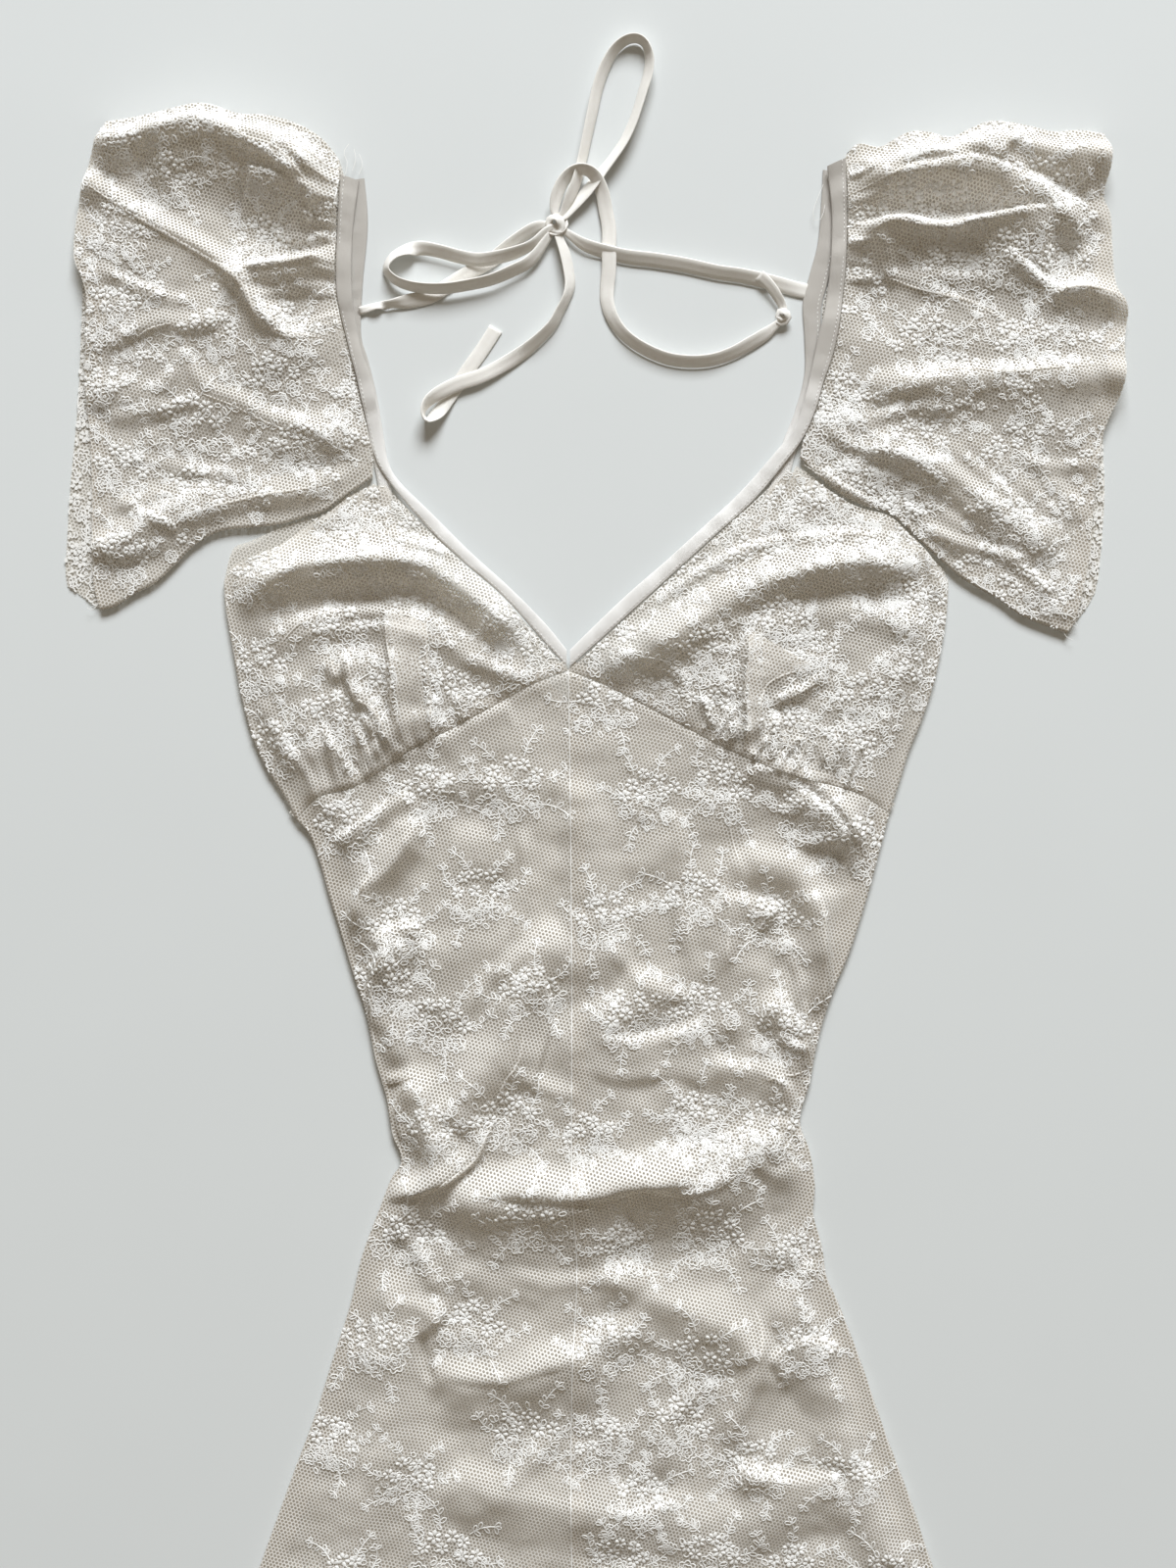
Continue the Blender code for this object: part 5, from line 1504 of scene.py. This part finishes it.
def build_sleeves():
    """The two sleeves: flattened tubes of net, puffed above."""
    pieces = {}
    for side, front, back, head_rows, top, bottom, hem, under_hem, shift in (
        ("left", FRONT_BINDING_LEFT, BACK_BINDING_LEFT, 7, SLEEVE_TOP_LEFT, SLEEVE_BOTTOM_LEFT,
         SLEEVE_HEM_LEFT, SLEEVE_UNDER_HEM_LEFT, -SEAM_GAP),
        ("right", FRONT_BINDING_RIGHT, BACK_BINDING_RIGHT, 8, SLEEVE_TOP_RIGHT,
         SLEEVE_BOTTOM_RIGHT, SLEEVE_HEM_RIGHT, SLEEVE_UNDER_HEM_RIGHT, SEAM_GAP),
    ):
        head = [top[0]] + moved(cloth_side(front, 0, head_rows), shift) + [bottom[0]]
        under_head = [top[0]] + moved(cloth_side(back, 0, head_rows), shift) + [bottom[0]]
        over = patch(head, hem, top, bottom, SLEEVE_STEP)
        below = patch(under_head, under_hem, top, bottom, SLEEVE_STEP)[:, ::SLEEVE_UNDER_EVERY]
        level = np.full(below.shape[:2] + (1,), SLEEVE_FLOOR)
        lower = np.concatenate([below, level], axis=2)[:, ::-1]
        grid = np.concatenate([laid(over, sleeve_top), lower], axis=1)
        made = net_mesh("net_sleeve_" + side, grid, closed=True)
        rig.replaces(made, "sleeve_" + side)
        pieces["sleeve_" + side] = made, rim_of(over), rim_of(below)
    return pieces


# Bindings, seams and hems

def strip(name, neck, cloth, base, material, thick, seed):
    """A strip of cloth folded over an edge, rounded above, flat below and slightly puckered."""
    count = max(int(length_of(neck) / STRIP_STEP), 8)
    inner, outer = spaced(neck, count), spaced(cloth, count)
    across = np.array(STRIP_ACROSS)
    share = (0.5 + 0.5 * across)[None, :, None]
    places = inner[:, None] * (1 - share) + outer[:, None] * share
    along = np.linspace(0, length_of(inner), count)
    floor = base((inner + outer) / 2)[:, None]
    crown = thick * np.sqrt(1 - (STRIP_ROUND * across) ** 2)[None, :]
    long_pucker = cloth_noise(np.column_stack([along, along * 0]), (5, 9), seed)[:, None]
    fine_pucker = cloth_noise(places.reshape(-1, 2), (3.4, 3.4), seed + 1).reshape(count, -1)
    pucker = LONG_PUCKER * long_pucker + FINE_PUCKER * fine_pucker
    level = floor + STRIP_EDGE * thick + STRIP_CROWN * crown + pucker * (1 - across ** 2)
    upper = np.concatenate([places, level[..., None]], axis=2)
    lower = np.concatenate([places[:, [-1, 0]], np.repeat(floor, 2, axis=1)[..., None]], axis=2)
    grid = np.concatenate([upper, lower], axis=1)
    columns = grid.shape[1]
    points = grid.reshape(-1, 3)
    faces = grid_faces(count, columns, closed=True)
    made = mesh_object(name, points, facing(points, faces, closed=True), material)
    around = np.tile(np.append(across, [1, -1]) * STRIP_WEAVE, count)
    weave(made, np.column_stack([around, np.repeat(along, columns)]))
    return made


def stitches(line, gap, width, length):
    """Short machine stitches along a line."""
    count = int(length_of(line) / gap)
    path = spaced(line, count * 4 + 1)
    strokes = []
    for index in range(count):
        a, b = path[index * 4], path[index * 4 + max(int(4 * length), 1)]
        strokes.append(np.array([[*a[:2], width * STITCH_TAPER], [*((a + b) / 2)[:2], width],
                                 [*b[:2], width * STITCH_TAPER]]))
    return strokes


def underside(places):
    """The floor that a front binding lies on."""
    return front_top(places) - CLOTH


def build_bindings():
    """The neck bindings, with a line of stitching on their cloth side."""
    seed = BINDING_SEED
    for side, front, back in (
        ("left", FRONT_BINDING_LEFT, BACK_BINDING_LEFT),
        ("right", FRONT_BINDING_RIGHT, BACK_BINDING_RIGHT),
    ):
        for layer, table, base in (("front", front, underside), ("back", back, flat_floor)):
            neck = [row[:2] for row in table]
            cloth = [row[2:] for row in table]
            name = layer + "_" + side
            piece = strip("bound_" + name, neck, cloth, base, BOUND, BINDING, seed)
            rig.replaces(piece, "binding_" + name)
            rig.slot(piece, "binding")
            row = np.array(neck) * (1 - STITCH_ACROSS) + np.array(cloth) * STITCH_ACROSS
            thread_mesh("stitch_" + name,
                        stitches(row, STITCH_STEP, BINDING_STITCH_WIDTH, STITCH_SHARE),
                        lambda places, base=base: base(places) + BINDING * STITCH_LEVEL, THREAD,
                        lift=STITCH_LIFT, rise=STITCH_RISE)
            seed += 2


def flat_floor(places):
    """The table, for what lies straight on it."""
    return np.zeros(len(places))


def band(name, line, width, side, top, lift):
    """A second layer of net along a line, such as a seam allowance or a turned hem."""
    path = spaced(line, max(int(length_of(line) / BAND_STEP), 4))
    share = np.linspace(0, 1, BAND_COLUMNS)[None, :, None]
    places = path[:, None] + (sideways(path) * side)[:, None] * width * share
    return net_mesh(name, laid(places, top, lift), BAND_WEAVE_SHIFT)


def fold_edges(name, edges, top):
    """The rolled edges of folds: narrow rounded strips of net, fading at both ends."""
    points, faces, first = [], [], 0
    across, crown = np.array(FOLD_ACROSS), np.array(FOLD_CROWN)
    for width, route in edges:
        count = max(int(length_of(route) / FOLD_STEP), 4)
        path = spaced(route, count)
        share = np.linspace(0, 1, count)
        size = width * (FOLD_TIP + (1 - FOLD_TIP) * ends(share, FOLD_FADE))
        places = path[:, None] + sideways(path)[:, None] * (size[:, None] * across)[..., None]
        heights = top(path)[:, None] + FOLD_LIFT + size[:, None] * crown
        points.append(np.concatenate([places, heights[..., None]], axis=2).reshape(-1, 3))
        faces.append(first + grid_faces(count, len(across)))
        first += count * len(across)
    points, faces = np.vstack(points), np.vstack(faces)
    made = mesh_object(name, points, facing(points, faces), NET)
    weave(made, points[:, :2], FOLD_DENSITY)
    return made


def pleat(name, near, far, top):
    """A fold of net laid over the cloth between two lines, raised a little at its middle."""
    count = max(int(length_of(near) / PLEAT_STEP), 6)
    share = np.linspace(0, 1, PLEAT_COLUMNS)[None, :, None]
    places = spaced(near, count)[:, None] * (1 - share) + spaced(far, count)[:, None] * share
    lift = PLEAT_LIFT + PLEAT_RISE * np.sin(math.pi * share)
    return net_mesh(name, laid(places, top, lift), PLEAT_WEAVE_SHIFT, PLEAT_DENSITY)


# Ties

def ribbon(name, table, material):
    """A flat tape along a route of x, y, underside, width and tilt, closed all round."""
    count = int(length_of([row[:2] for row in table]) / TAPE_STEP)
    route = spaced(table, count)
    tilt = np.radians(route[:, 4])
    half = route[:, 3] / 2
    centre = np.column_stack([
        route[:, :2], route[:, 2] + half * np.abs(np.sin(tilt)) + TAPE_THICK / 2,
    ])
    run = np.gradient(centre, axis=0)
    run /= np.linalg.norm(run, axis=1, keepdims=True)
    left = np.cross([0, 0, 1], run)
    left /= np.linalg.norm(left, axis=1, keepdims=True)
    upward = np.cross(run, left)
    across = left * np.cos(tilt)[:, None] + upward * np.sin(tilt)[:, None]
    normal = upward * np.cos(tilt)[:, None] - left * np.sin(tilt)[:, None]
    corners = len(TAPE_SECTION)
    rings = np.stack([
        centre + across * (half * a)[:, None] + normal * TAPE_THICK * b for a, b in TAPE_SECTION
    ], axis=1)
    tape = mesh_object(name, rings.reshape(-1, 3), grid_faces(count, corners, closed=True), material)
    cap_ends(tape, count, corners)
    along = np.repeat(np.linspace(0, length_of(centre), count), corners)
    around = np.tile([a * TAPE_WEAVE for a, _ in TAPE_SECTION], count)
    weave(tape, np.column_stack([around, along]))
    return tape, centre


def cap_ends(made, count, sides):
    """Closes both ends of a tube of rings and turns its faces outwards."""
    mesh = bmesh.new()
    mesh.from_mesh(made.data)
    mesh.verts.ensure_lookup_table()
    last = (count - 1) * sides
    mesh.faces.new([mesh.verts[index] for index in range(sides)])
    mesh.faces.new([mesh.verts[last + index] for index in reversed(range(sides))])
    bmesh.ops.recalc_face_normals(mesh, faces=mesh.faces)
    mesh.to_mesh(made.data)
    mesh.free()


def knot(name, place, turns, radius, material):
    """A pulled knot: a short tape wound round the strands."""
    table = [(place[0] + dx * radius, place[1] + dy * radius, z, width, tilt)
             for dx, dy, z, width, tilt in turns]
    return ribbon(name, table, material)[0]


BOW_KNOT_TURNS = (
    (-0.9, -0.6, 0.6, 5, -40), (-0.2, -0.9, 2.6, 5.5, -20), (0.5, -0.3, 4.2, 5.5, 10),
    (0.3, 0.5, 4.6, 5.5, 30), (-0.4, 0.8, 3.8, 5, 35), (-0.9, 0.3, 2.8, 5, 20),
    (-0.5, -0.4, 3.6, 5, 0), (0.4, -0.7, 2.8, 4.6, -20), (1.0, 0.0, 1.4, 4.4, -35),
    (0.7, 0.8, 0.6, 4, -20),
)
END_KNOT_TURNS = (
    (-0.8, -0.7, 0.4, 4, -30), (0, -0.9, 1.8, 5, -10), (0.7, -0.3, 3, 5, 20),
    (0.4, 0.5, 3.4, 5, 35), (-0.4, 0.6, 2.8, 4.6, 20), (-0.7, 0, 2, 4.4, 0),
    (0, -0.3, 2.8, 4.4, -20), (0.6, 0.5, 1.2, 4, -20),
)


def build_ties():
    """The two ties, each one tape from its binding through the bow to its free end."""
    left, left_path = ribbon("ribbon_left", LEFT_TIE, TAPE_CLOTH)
    right, right_path = ribbon("ribbon_right", RIGHT_TIE, TAPE_CLOTH)
    bow = knot("ribbon_bow_knot", BOW_KNOT_PLACE, BOW_KNOT_TURNS, BOW_KNOT_RADIUS, TAPE_CLOTH)
    end = knot("ribbon_end_knot", END_KNOT_PLACE, END_KNOT_TURNS, END_KNOT_RADIUS, TAPE_CLOTH)
    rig.replaces(left, "tie_left", "bow_loop_left", "tie_tail_left", "tie_tail_left_end")
    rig.replaces(right, "tie_right", "bow_loop_upper", "tie_tail_right", "tie_tip_right")
    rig.replaces(bow, "bow_knot")
    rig.replaces(end, "tie_end_knot")
    for tie, path, pieces in ((left, left_path, [bow]), (right, right_path, [end])):
        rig.cord(tie, exit=tuple(path[0] * MM), length=round(length_of(path) * MM, 3),
                diameter=0.0087, far_end="bare", stiffness="limp", lay="loose",
                path=[tuple(point * MM) for point in path[::3]] + [tuple(path[-1] * MM)],
                with_pieces=pieces)
    return [left, right, bow, end]


# Materials

def new_material(name):
    """An empty node material and the socket of its surface."""
    made = bpy.data.materials.new(name)
    made.use_nodes = True
    made.node_tree.nodes.clear()
    return made, made.node_tree.nodes.new("ShaderNodeOutputMaterial")


def connect(made, node, inputs):
    """Gives a node its inputs, each a value or the socket of another node."""
    for name, value in inputs.items():
        if isinstance(value, bpy.types.NodeSocket):
            made.node_tree.links.new(value, node.inputs[name])
        else:
            node.inputs[name].default_value = value


def add_node(made, kind, inputs):
    """A shader node with its inputs."""
    node = made.node_tree.nodes.new("ShaderNode" + kind)
    connect(made, node, inputs)
    return node


def math_node(made, operation, *inputs):
    """The value of a Math node whose inputs are sockets or numbers."""
    node = add_node(made, "Math", dict(enumerate(inputs)))
    node.operation = operation
    return node.outputs[0]


def weave_place(made):
    """The coordinates that weave() gave to the cloth."""
    place = add_node(made, "Attribute", {})
    place.attribute_name = "weave"
    return place.outputs["Vector"]


def object_place(made):
    """The place on the object itself, in metres."""
    return add_node(made, "NewGeometry", {}).outputs["Position"]


def noise_at(made, place, scale, detail):
    """A noise texture at a place."""
    return add_node(made, "TexNoise", {"Vector": place, "Scale": scale, "Detail": detail})


def mixed_colour(made, factor, first, second):
    """The mix of two colours."""
    node = made.node_tree.nodes.new("ShaderNodeMix")
    node.data_type = "RGBA"
    connect(made, node, {"Factor": factor, "A": first, "B": second})
    return node.outputs["Result"]


def mixed_shader(made, factor, first, second):
    """The mix of two shaders."""
    return add_node(made, "MixShader", {0: factor, 1: first, 2: second}).outputs[0]


def net_material():
    """Soft tulle: threads round holes partly filled with painted shade, tighter where the cloth is seen on the slant.
    """
    made, output = new_material("soft_net")
    place = weave_place(made)
    density = add_node(made, "SeparateXYZ", {0: place}).outputs["Z"]
    noise = noise_at(made, place, NET_DRIFT_SCALE, 2)
    drift = (NET_DRIFT, NET_DRIFT, 0)
    shifted = add_node(made, "VectorMath", {0: noise.outputs["Color"], 1: drift, 2: place})
    shifted.operation = "MULTIPLY_ADD"
    pull = 2 * math.pi / NET_PITCH
    waves = []
    for degrees in (15, 75, 135):
        turn = math.radians(degrees)
        way = (pull * math.cos(turn), pull * math.sin(turn), 0)
        wave = add_node(made, "VectorMath", {0: shifted.outputs[0], 1: way})
        wave.operation = "DOT_PRODUCT"
        waves.append(math_node(made, "COSINE", wave.outputs["Value"]))
    total = math_node(made, "ADD", math_node(made, "ADD", waves[0], waves[1]), waves[2])
    pulled = math_node(made, "MULTIPLY_ADD", density, -NET_SLANT, total)
    # Painted shade: the holes are not fully clear but partly covered with a dark warm colour that stands in for the
    # shade under the net
    cover = add_node(made, "MapRange", {
        "Value": pulled, "From Min": NET_THREAD - NET_COVER_SOFT,
        "From Max": NET_THREAD + NET_COVER_SOFT, "To Min": 1, "To Max": NET_PAINTED_SHADE_COVER,
    })
    cover.interpolation_type = "SMOOTHSTEP"
    grain = add_node(made, "MapRange", {
        "Value": pulled, "From Min": NET_THREAD - NET_GRAIN_SOFT,
        "From Max": NET_THREAD + NET_GRAIN_SOFT,
    })
    # Painted shade: the threads' colour darkens towards the holes into the painted shade colour
    thread_and_painted_shade = mixed_colour(made, grain.outputs["Result"], NET_COLOUR, NET_PAINTED_SHADE)
    lit = add_node(made, "BsdfDiffuse", {"Color": thread_and_painted_shade})
    through = add_node(made, "BsdfTranslucent", {"Color": NET_GLOW})
    cloth = mixed_shader(made, NET_GLOW_SHARE, lit.outputs[0], through.outputs[0])
    clear = add_node(made, "BsdfTransparent", {})
    mixed = mixed_shader(made, cover.outputs["Result"], clear.outputs[0], cloth)
    connect(made, output, {"Surface": mixed})
    return made


def woven_material(name, colour, shade, painted_shade=None):
    """Plain woven cotton: ribs across, a little colour change and a soft sheen, and where it is
    given painted shade, darker and yellower towards the shoulders."""
    made, output = new_material(name)
    place = weave_place(made)
    noise = noise_at(made, place, COTTON_GRAIN, 4)
    colours = mixed_colour(made, noise.outputs["Fac"], colour, shade)
    # Painted shade: the colour turns darker and yellower towards +Y on the object, at the shoulders, standing in for
    # their shade
    if painted_shade:
        split = add_node(made, "SeparateXYZ", {0: object_place(made)})
        shade_ramp = add_node(made, "MapRange", {
            "Value": split.outputs["Y"], "From Min": PAINTED_SHADE_FROM, "From Max": PAINTED_SHADE_TO})
        shade_ramp.interpolation_type = "SMOOTHSTEP"
        colours = mixed_colour(made, shade_ramp.outputs["Result"], colours, painted_shade)
    ribs = add_node(made, "TexWave", {"Vector": place, "Scale": COTTON_RIBS, "Distortion": 1.5})
    ribs.bands_direction = "Y"
    raised = add_node(made, "Bump", {
        "Height": ribs.outputs["Fac"], "Strength": COTTON_BUMP, "Distance": 0.0002})
    cloth = add_node(made, "BsdfPrincipled", {
        "Base Color": colours, "Normal": raised.outputs["Normal"], "Roughness": COTTON_ROUGH,
        "Sheen Weight": 0.25, "Specular IOR Level": 0.25,
    })
    connect(made, output, {"Surface": cloth.outputs[0]})
    return made


def thread_material():
    """Matt cotton embroidery thread, with the twist as a fine change of colour."""
    made, output = new_material("cotton_thread")
    noise = noise_at(made, object_place(made), THREAD_GRAIN, 2)
    cloth = add_node(made, "BsdfPrincipled", {
        "Base Color": mixed_colour(made, noise.outputs["Fac"], LACE_COLOUR, LACE_SHADE),
        "Roughness": 0.7, "Sheen Weight": 0.2, "Specular IOR Level": 0.2,
    })
    through = add_node(made, "BsdfTranslucent", {"Color": LACE_GLOW})
    mixed = mixed_shader(made, LACE_GLOW_SHARE, cloth.outputs[0], through.outputs[0])
    connect(made, output, {"Surface": mixed})
    return made


def table_material():
    """The pale painted table, slightly mottled."""
    made, output = new_material("pale_table")
    noise = noise_at(made, object_place(made), TABLE_GRAIN, 5)
    paint = add_node(made, "BsdfPrincipled", {
        "Base Color": mixed_colour(made, noise.outputs["Fac"], TABLE_COLOUR, TABLE_SHADE),
        "Roughness": 0.6, "Specular IOR Level": 0.2,
    })
    connect(made, output, {"Surface": paint.outputs[0]})
    return made


# Light, table and camera

def build_stage():
    """The table, a large soft window light from the neck side, and the light of the room."""
    bpy.ops.mesh.primitive_plane_add(size=TABLE_SIZE, location=(0, 0, -TABLE_GAP))
    table = bpy.context.object
    table.name = "table_top"
    table.data.materials.append(table_material())
    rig.stage(table)
    window = bpy.data.lights.new("window", "AREA")
    window.shape = "RECTANGLE"
    window.size, window.size_y = WINDOW_SIZE
    window.energy = WINDOW_POWER
    window.color = WINDOW_COLOUR
    aim = bpy.data.objects.new("window", window)
    bpy.context.scene.collection.objects.link(aim)
    aim.location = WINDOW_PLACE
    to = np.array(WINDOW_AIM) - np.array(WINDOW_PLACE)
    yaw = math.atan2(to[0], -to[1])
    pitch = math.atan2(math.hypot(to[0], to[1]), -to[2])
    aim.rotation_euler = (-pitch, 0, yaw)
    room = bpy.data.worlds.new("room")
    room.use_nodes = True
    sky = room.node_tree.nodes["Background"]
    sky.inputs["Color"].default_value = ROOM_COLOUR
    sky.inputs["Strength"].default_value = ROOM_LIGHT
    bpy.context.scene.world = room
    bpy.context.scene.view_settings.view_transform = "Standard"


def build_camera():
    """The camera straight above, framed as the photo is."""
    data = bpy.data.cameras.new("camera")
    data.sensor_width = SENSOR_WIDTH
    data.lens = SENSOR_WIDTH * CAMERA_HEIGHT / FRAME_HEIGHT
    camera = bpy.data.objects.new("camera", data)
    bpy.context.scene.collection.objects.link(camera)
    camera.location = (*CAMERA_MIDDLE, CAMERA_HEIGHT + CLOTH_LEVEL)
    camera.rotation_euler = (0, 0, 0)
    bpy.context.scene.camera = camera


BODY_EDGES = [
    smooth(edge) for edge in (CUP_SIDE_LEFT, CUP_SIDE_RIGHT, BODY_SIDE_LEFT, BODY_SIDE_RIGHT)
]
SLEEVE_TOPS = [smooth(SLEEVE_TOP_LEFT), smooth(SLEEVE_TOP_RIGHT)]
SLEEVE_BOTTOMS = [smooth(SLEEVE_BOTTOM_LEFT), smooth(SLEEVE_BOTTOM_RIGHT)]
SHOULDERS = [
    smooth(cloth_side(FRONT_BINDING_LEFT, 0, 7)), smooth(cloth_side(FRONT_BINDING_RIGHT, 0, 8)),
]
HEM_TOP = BODY_SIDE_LEFT[-1][1] + HEM_WAVE_REACH
BUST_LINES = [smooth(BUST_SEAM_LEFT, 3), smooth(BUST_SEAM_RIGHT, 3)]
SEAM_GATHERS = (
    gathers(BUST_LINES[0][::-1], start=0.12, stop=0.62, spacing=6.5, lengths=(14, 34), height=2.2, seed=3)
    + gathers(BUST_LINES[1], start=0.38, stop=0.86, spacing=6.5, lengths=(14, 34), height=2.2, seed=4)
)
HEAD_GATHERS = (
    gathers(SHOULDERS[0][::-1], start=0.55, stop=1, spacing=8, lengths=(10, 28), height=2, seed=6)
    + gathers(SHOULDERS[1], start=0, stop=0.35, spacing=8, lengths=(12, 30), height=2.4, seed=7)
)

NET = net_material()
THREAD = thread_material()
BOUND = woven_material("binding_cotton", BINDING_COLOUR, BINDING_SHADE, BINDING_PAINTED_SHADE)
TAPE_CLOTH = woven_material("tape_cotton", TAPE_COLOUR, TAPE_SHADE)

build_stage()
build_camera()

front = build_front()
back, back_outline = build_back()
sleeves = build_sleeves()
build_bindings()
ties = build_ties()

# Lace
body_strokes = scattered(BODY_LACE, True, LACE_SEED)
skirt_strokes = scattered(repeat_lace(SKIRT_LACE_ROWS, SKIRT_LACE_TOP), True, LACE_SEED + 6)
cup_strokes = scattered(CUP_LACE, True, LACE_SEED + 1)
sleeve_strokes = scattered(SLEEVE_LACE, True, LACE_SEED + 2)
sleeve_strokes += scattered(SLEEVE_SPRIGS, False, LACE_SEED + 5)
back_places = repeat_lace(BACK_LACE_ROWS, BACK_LACE_TOP, BACK_LACE_SHIFT)
back_strokes = scattered(back_places, False, LACE_SEED + 3)
under_places = moved(SLEEVE_LACE[::2], *UNDER_LACE_SHIFT) + list(UNDER_HEM_LACE)
under_strokes = scattered(under_places, True, LACE_SEED + 4)
lace = {}
for name, (piece, rim) in front.items():
    kinds = {"": cup_strokes} if "cup" in name else {"": body_strokes, "_skirt": skirt_strokes}
    lace[name] = [
        thread_mesh("lace_" + name + part, clipped(strokes, rim[::3]), front_top, THREAD)
        for part, strokes in kinds.items()
    ]
seam_line = spaced(smooth(CENTRE_FRONT), SEAM_POINTS)
seam_stroke = np.column_stack([seam_line, np.full(SEAM_POINTS, SEAM_THREAD)])
thread_mesh("seam_thread_front", [seam_stroke], front_top, THREAD)
loose = [np.column_stack([spaced(line, LOOSE_POINTS), np.full(LOOSE_POINTS, LOOSE_WIDTH)])
         for line in LOOSE_THREADS]
thread_mesh("loose_threads", loose, lambda places: np.full(len(places), LOOSE_LEVEL), THREAD)
for name, (piece, rim, under_rim) in sleeves.items():
    hem, inward = (SLEEVE_HEM_LEFT, 1) if "left" in name else (SLEEVE_HEM_RIGHT, -1)
    sewn = stitches(moved(hem[2:-1], HEM_STITCH_INSET * inward), STITCH_STEP, HEM_STITCH_WIDTH,
                    STITCH_SHARE)
    hem_stitches = thread_mesh("stitch_hem_" + name, sewn, sleeve_top, THREAD)
    lace[name] = [
        thread_mesh("lace_" + name, clipped(sleeve_strokes, rim[::3]), sleeve_top, THREAD),
        flat_thread_mesh("lace_under_" + name, clipped(under_strokes, under_rim[::2]),
                         UNDER_LACE_LEVEL, THREAD),
        hem_stitches,
    ]
lace["back"] = flat_thread_mesh("lace_back", clipped(back_strokes, back_outline[::2]),
                                BACK_LACE_LEVEL, THREAD)

# Second layers of net along seams and hems: name, line, width and side
BANDS = {
    "front_left": (("side_left", moved(BODY_SIDE_LEFT, 0.4), 13, 1),
                   ("hem_front_left", HEM_LEFT, 18, 1)),
    "front_right": (("centre_front", moved(CENTRE_FRONT, 0.4), 8.2, 1),
                    ("side_right", moved(BODY_SIDE_RIGHT, -0.4), 13, -1),
                    ("hem_front_right", HEM_RIGHT, 18, -1)),
    "cup_left": (("bust_left", BUST_LINES[0], 6, -1),),
    "cup_right": (("bust_right", BUST_LINES[1], 6, 1),),
    "sleeve_left": (("hem_left", moved(SLEEVE_HEM_LEFT, 0.5), 11, 1),),
    "sleeve_right": (("hem_right", moved(SLEEVE_HEM_RIGHT, -0.5), 11, -1),),
}
bands = {}
for part, rows in BANDS.items():
    top, lift = (sleeve_top, SLEEVE_BAND_LIFT) if "sleeve" in part else (front_top, BAND_LIFT)
    bands[part] = [band("band_" + name, line, width, side, top, lift)
                   for name, line, width, side in rows]

# Folds, told apart by the side of the centre seam that they start on
folds = {"cup_" + side: [pleat("pleat_cup_" + side, *PLEATS["cup_" + side], front_top)]
         for side in ("left", "right")}
for part, edges, top in (("front", FRONT_EDGES, front_top), ("cup", CUP_EDGES, front_top),
                         ("sleeve", SLEEVE_FOLD_EDGES, sleeve_top)):
    for side, sign in (("left", -1), ("right", 1)):
        name = part + "_" + side
        own = [edge for edge in edges if (edge[1][0][0] - CENTRE_X) * sign > 0]
        folds.setdefault(name, []).append(fold_edges("folds_" + name, own, top))

for name, (piece, rim) in front.items():
    *flat, area = CUP_FLAT if "cup" in name else FRONT_FLAT
    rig.sheet(piece, flat=tuple(flat), held="gathered" if "cup" in name else "laid",
             rests_on=["back"], area=area, with_pieces=lace[name] + bands[name] + folds[name])
*flat, area = BACK_FLAT
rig.sheet(back, flat=tuple(flat), held="laid", rests_on=["table_top"], area=area,
         with_pieces=[lace["back"]])
*flat, area = SLEEVE_FLAT
for name, (piece, rim, under_rim) in sleeves.items():
    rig.sheet(piece, flat=tuple(flat), held="gathered", rests_on=["table_top"], area=area,
             with_pieces=lace[name] + bands[name] + folds[name])
    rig.slot(piece, "net")

for thing in list(bpy.context.scene.objects):
    if thing.type == "MESH" and "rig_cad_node" not in thing and not thing.get("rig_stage"):
        if "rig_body" not in thing and thing.parent is None:
            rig.ride(thing, "root")
for piece in [made for made, rim in front.values()] + [back]:
    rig.slot(piece, "net")
for tie in ties:
    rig.slot(tie, "tape")

with open("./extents.json", "w") as report:
    json.dump({"cad": [list(corner) for corner in CAD_BOX],
               "visual": [list(corner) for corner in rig.bounds()]}, report)
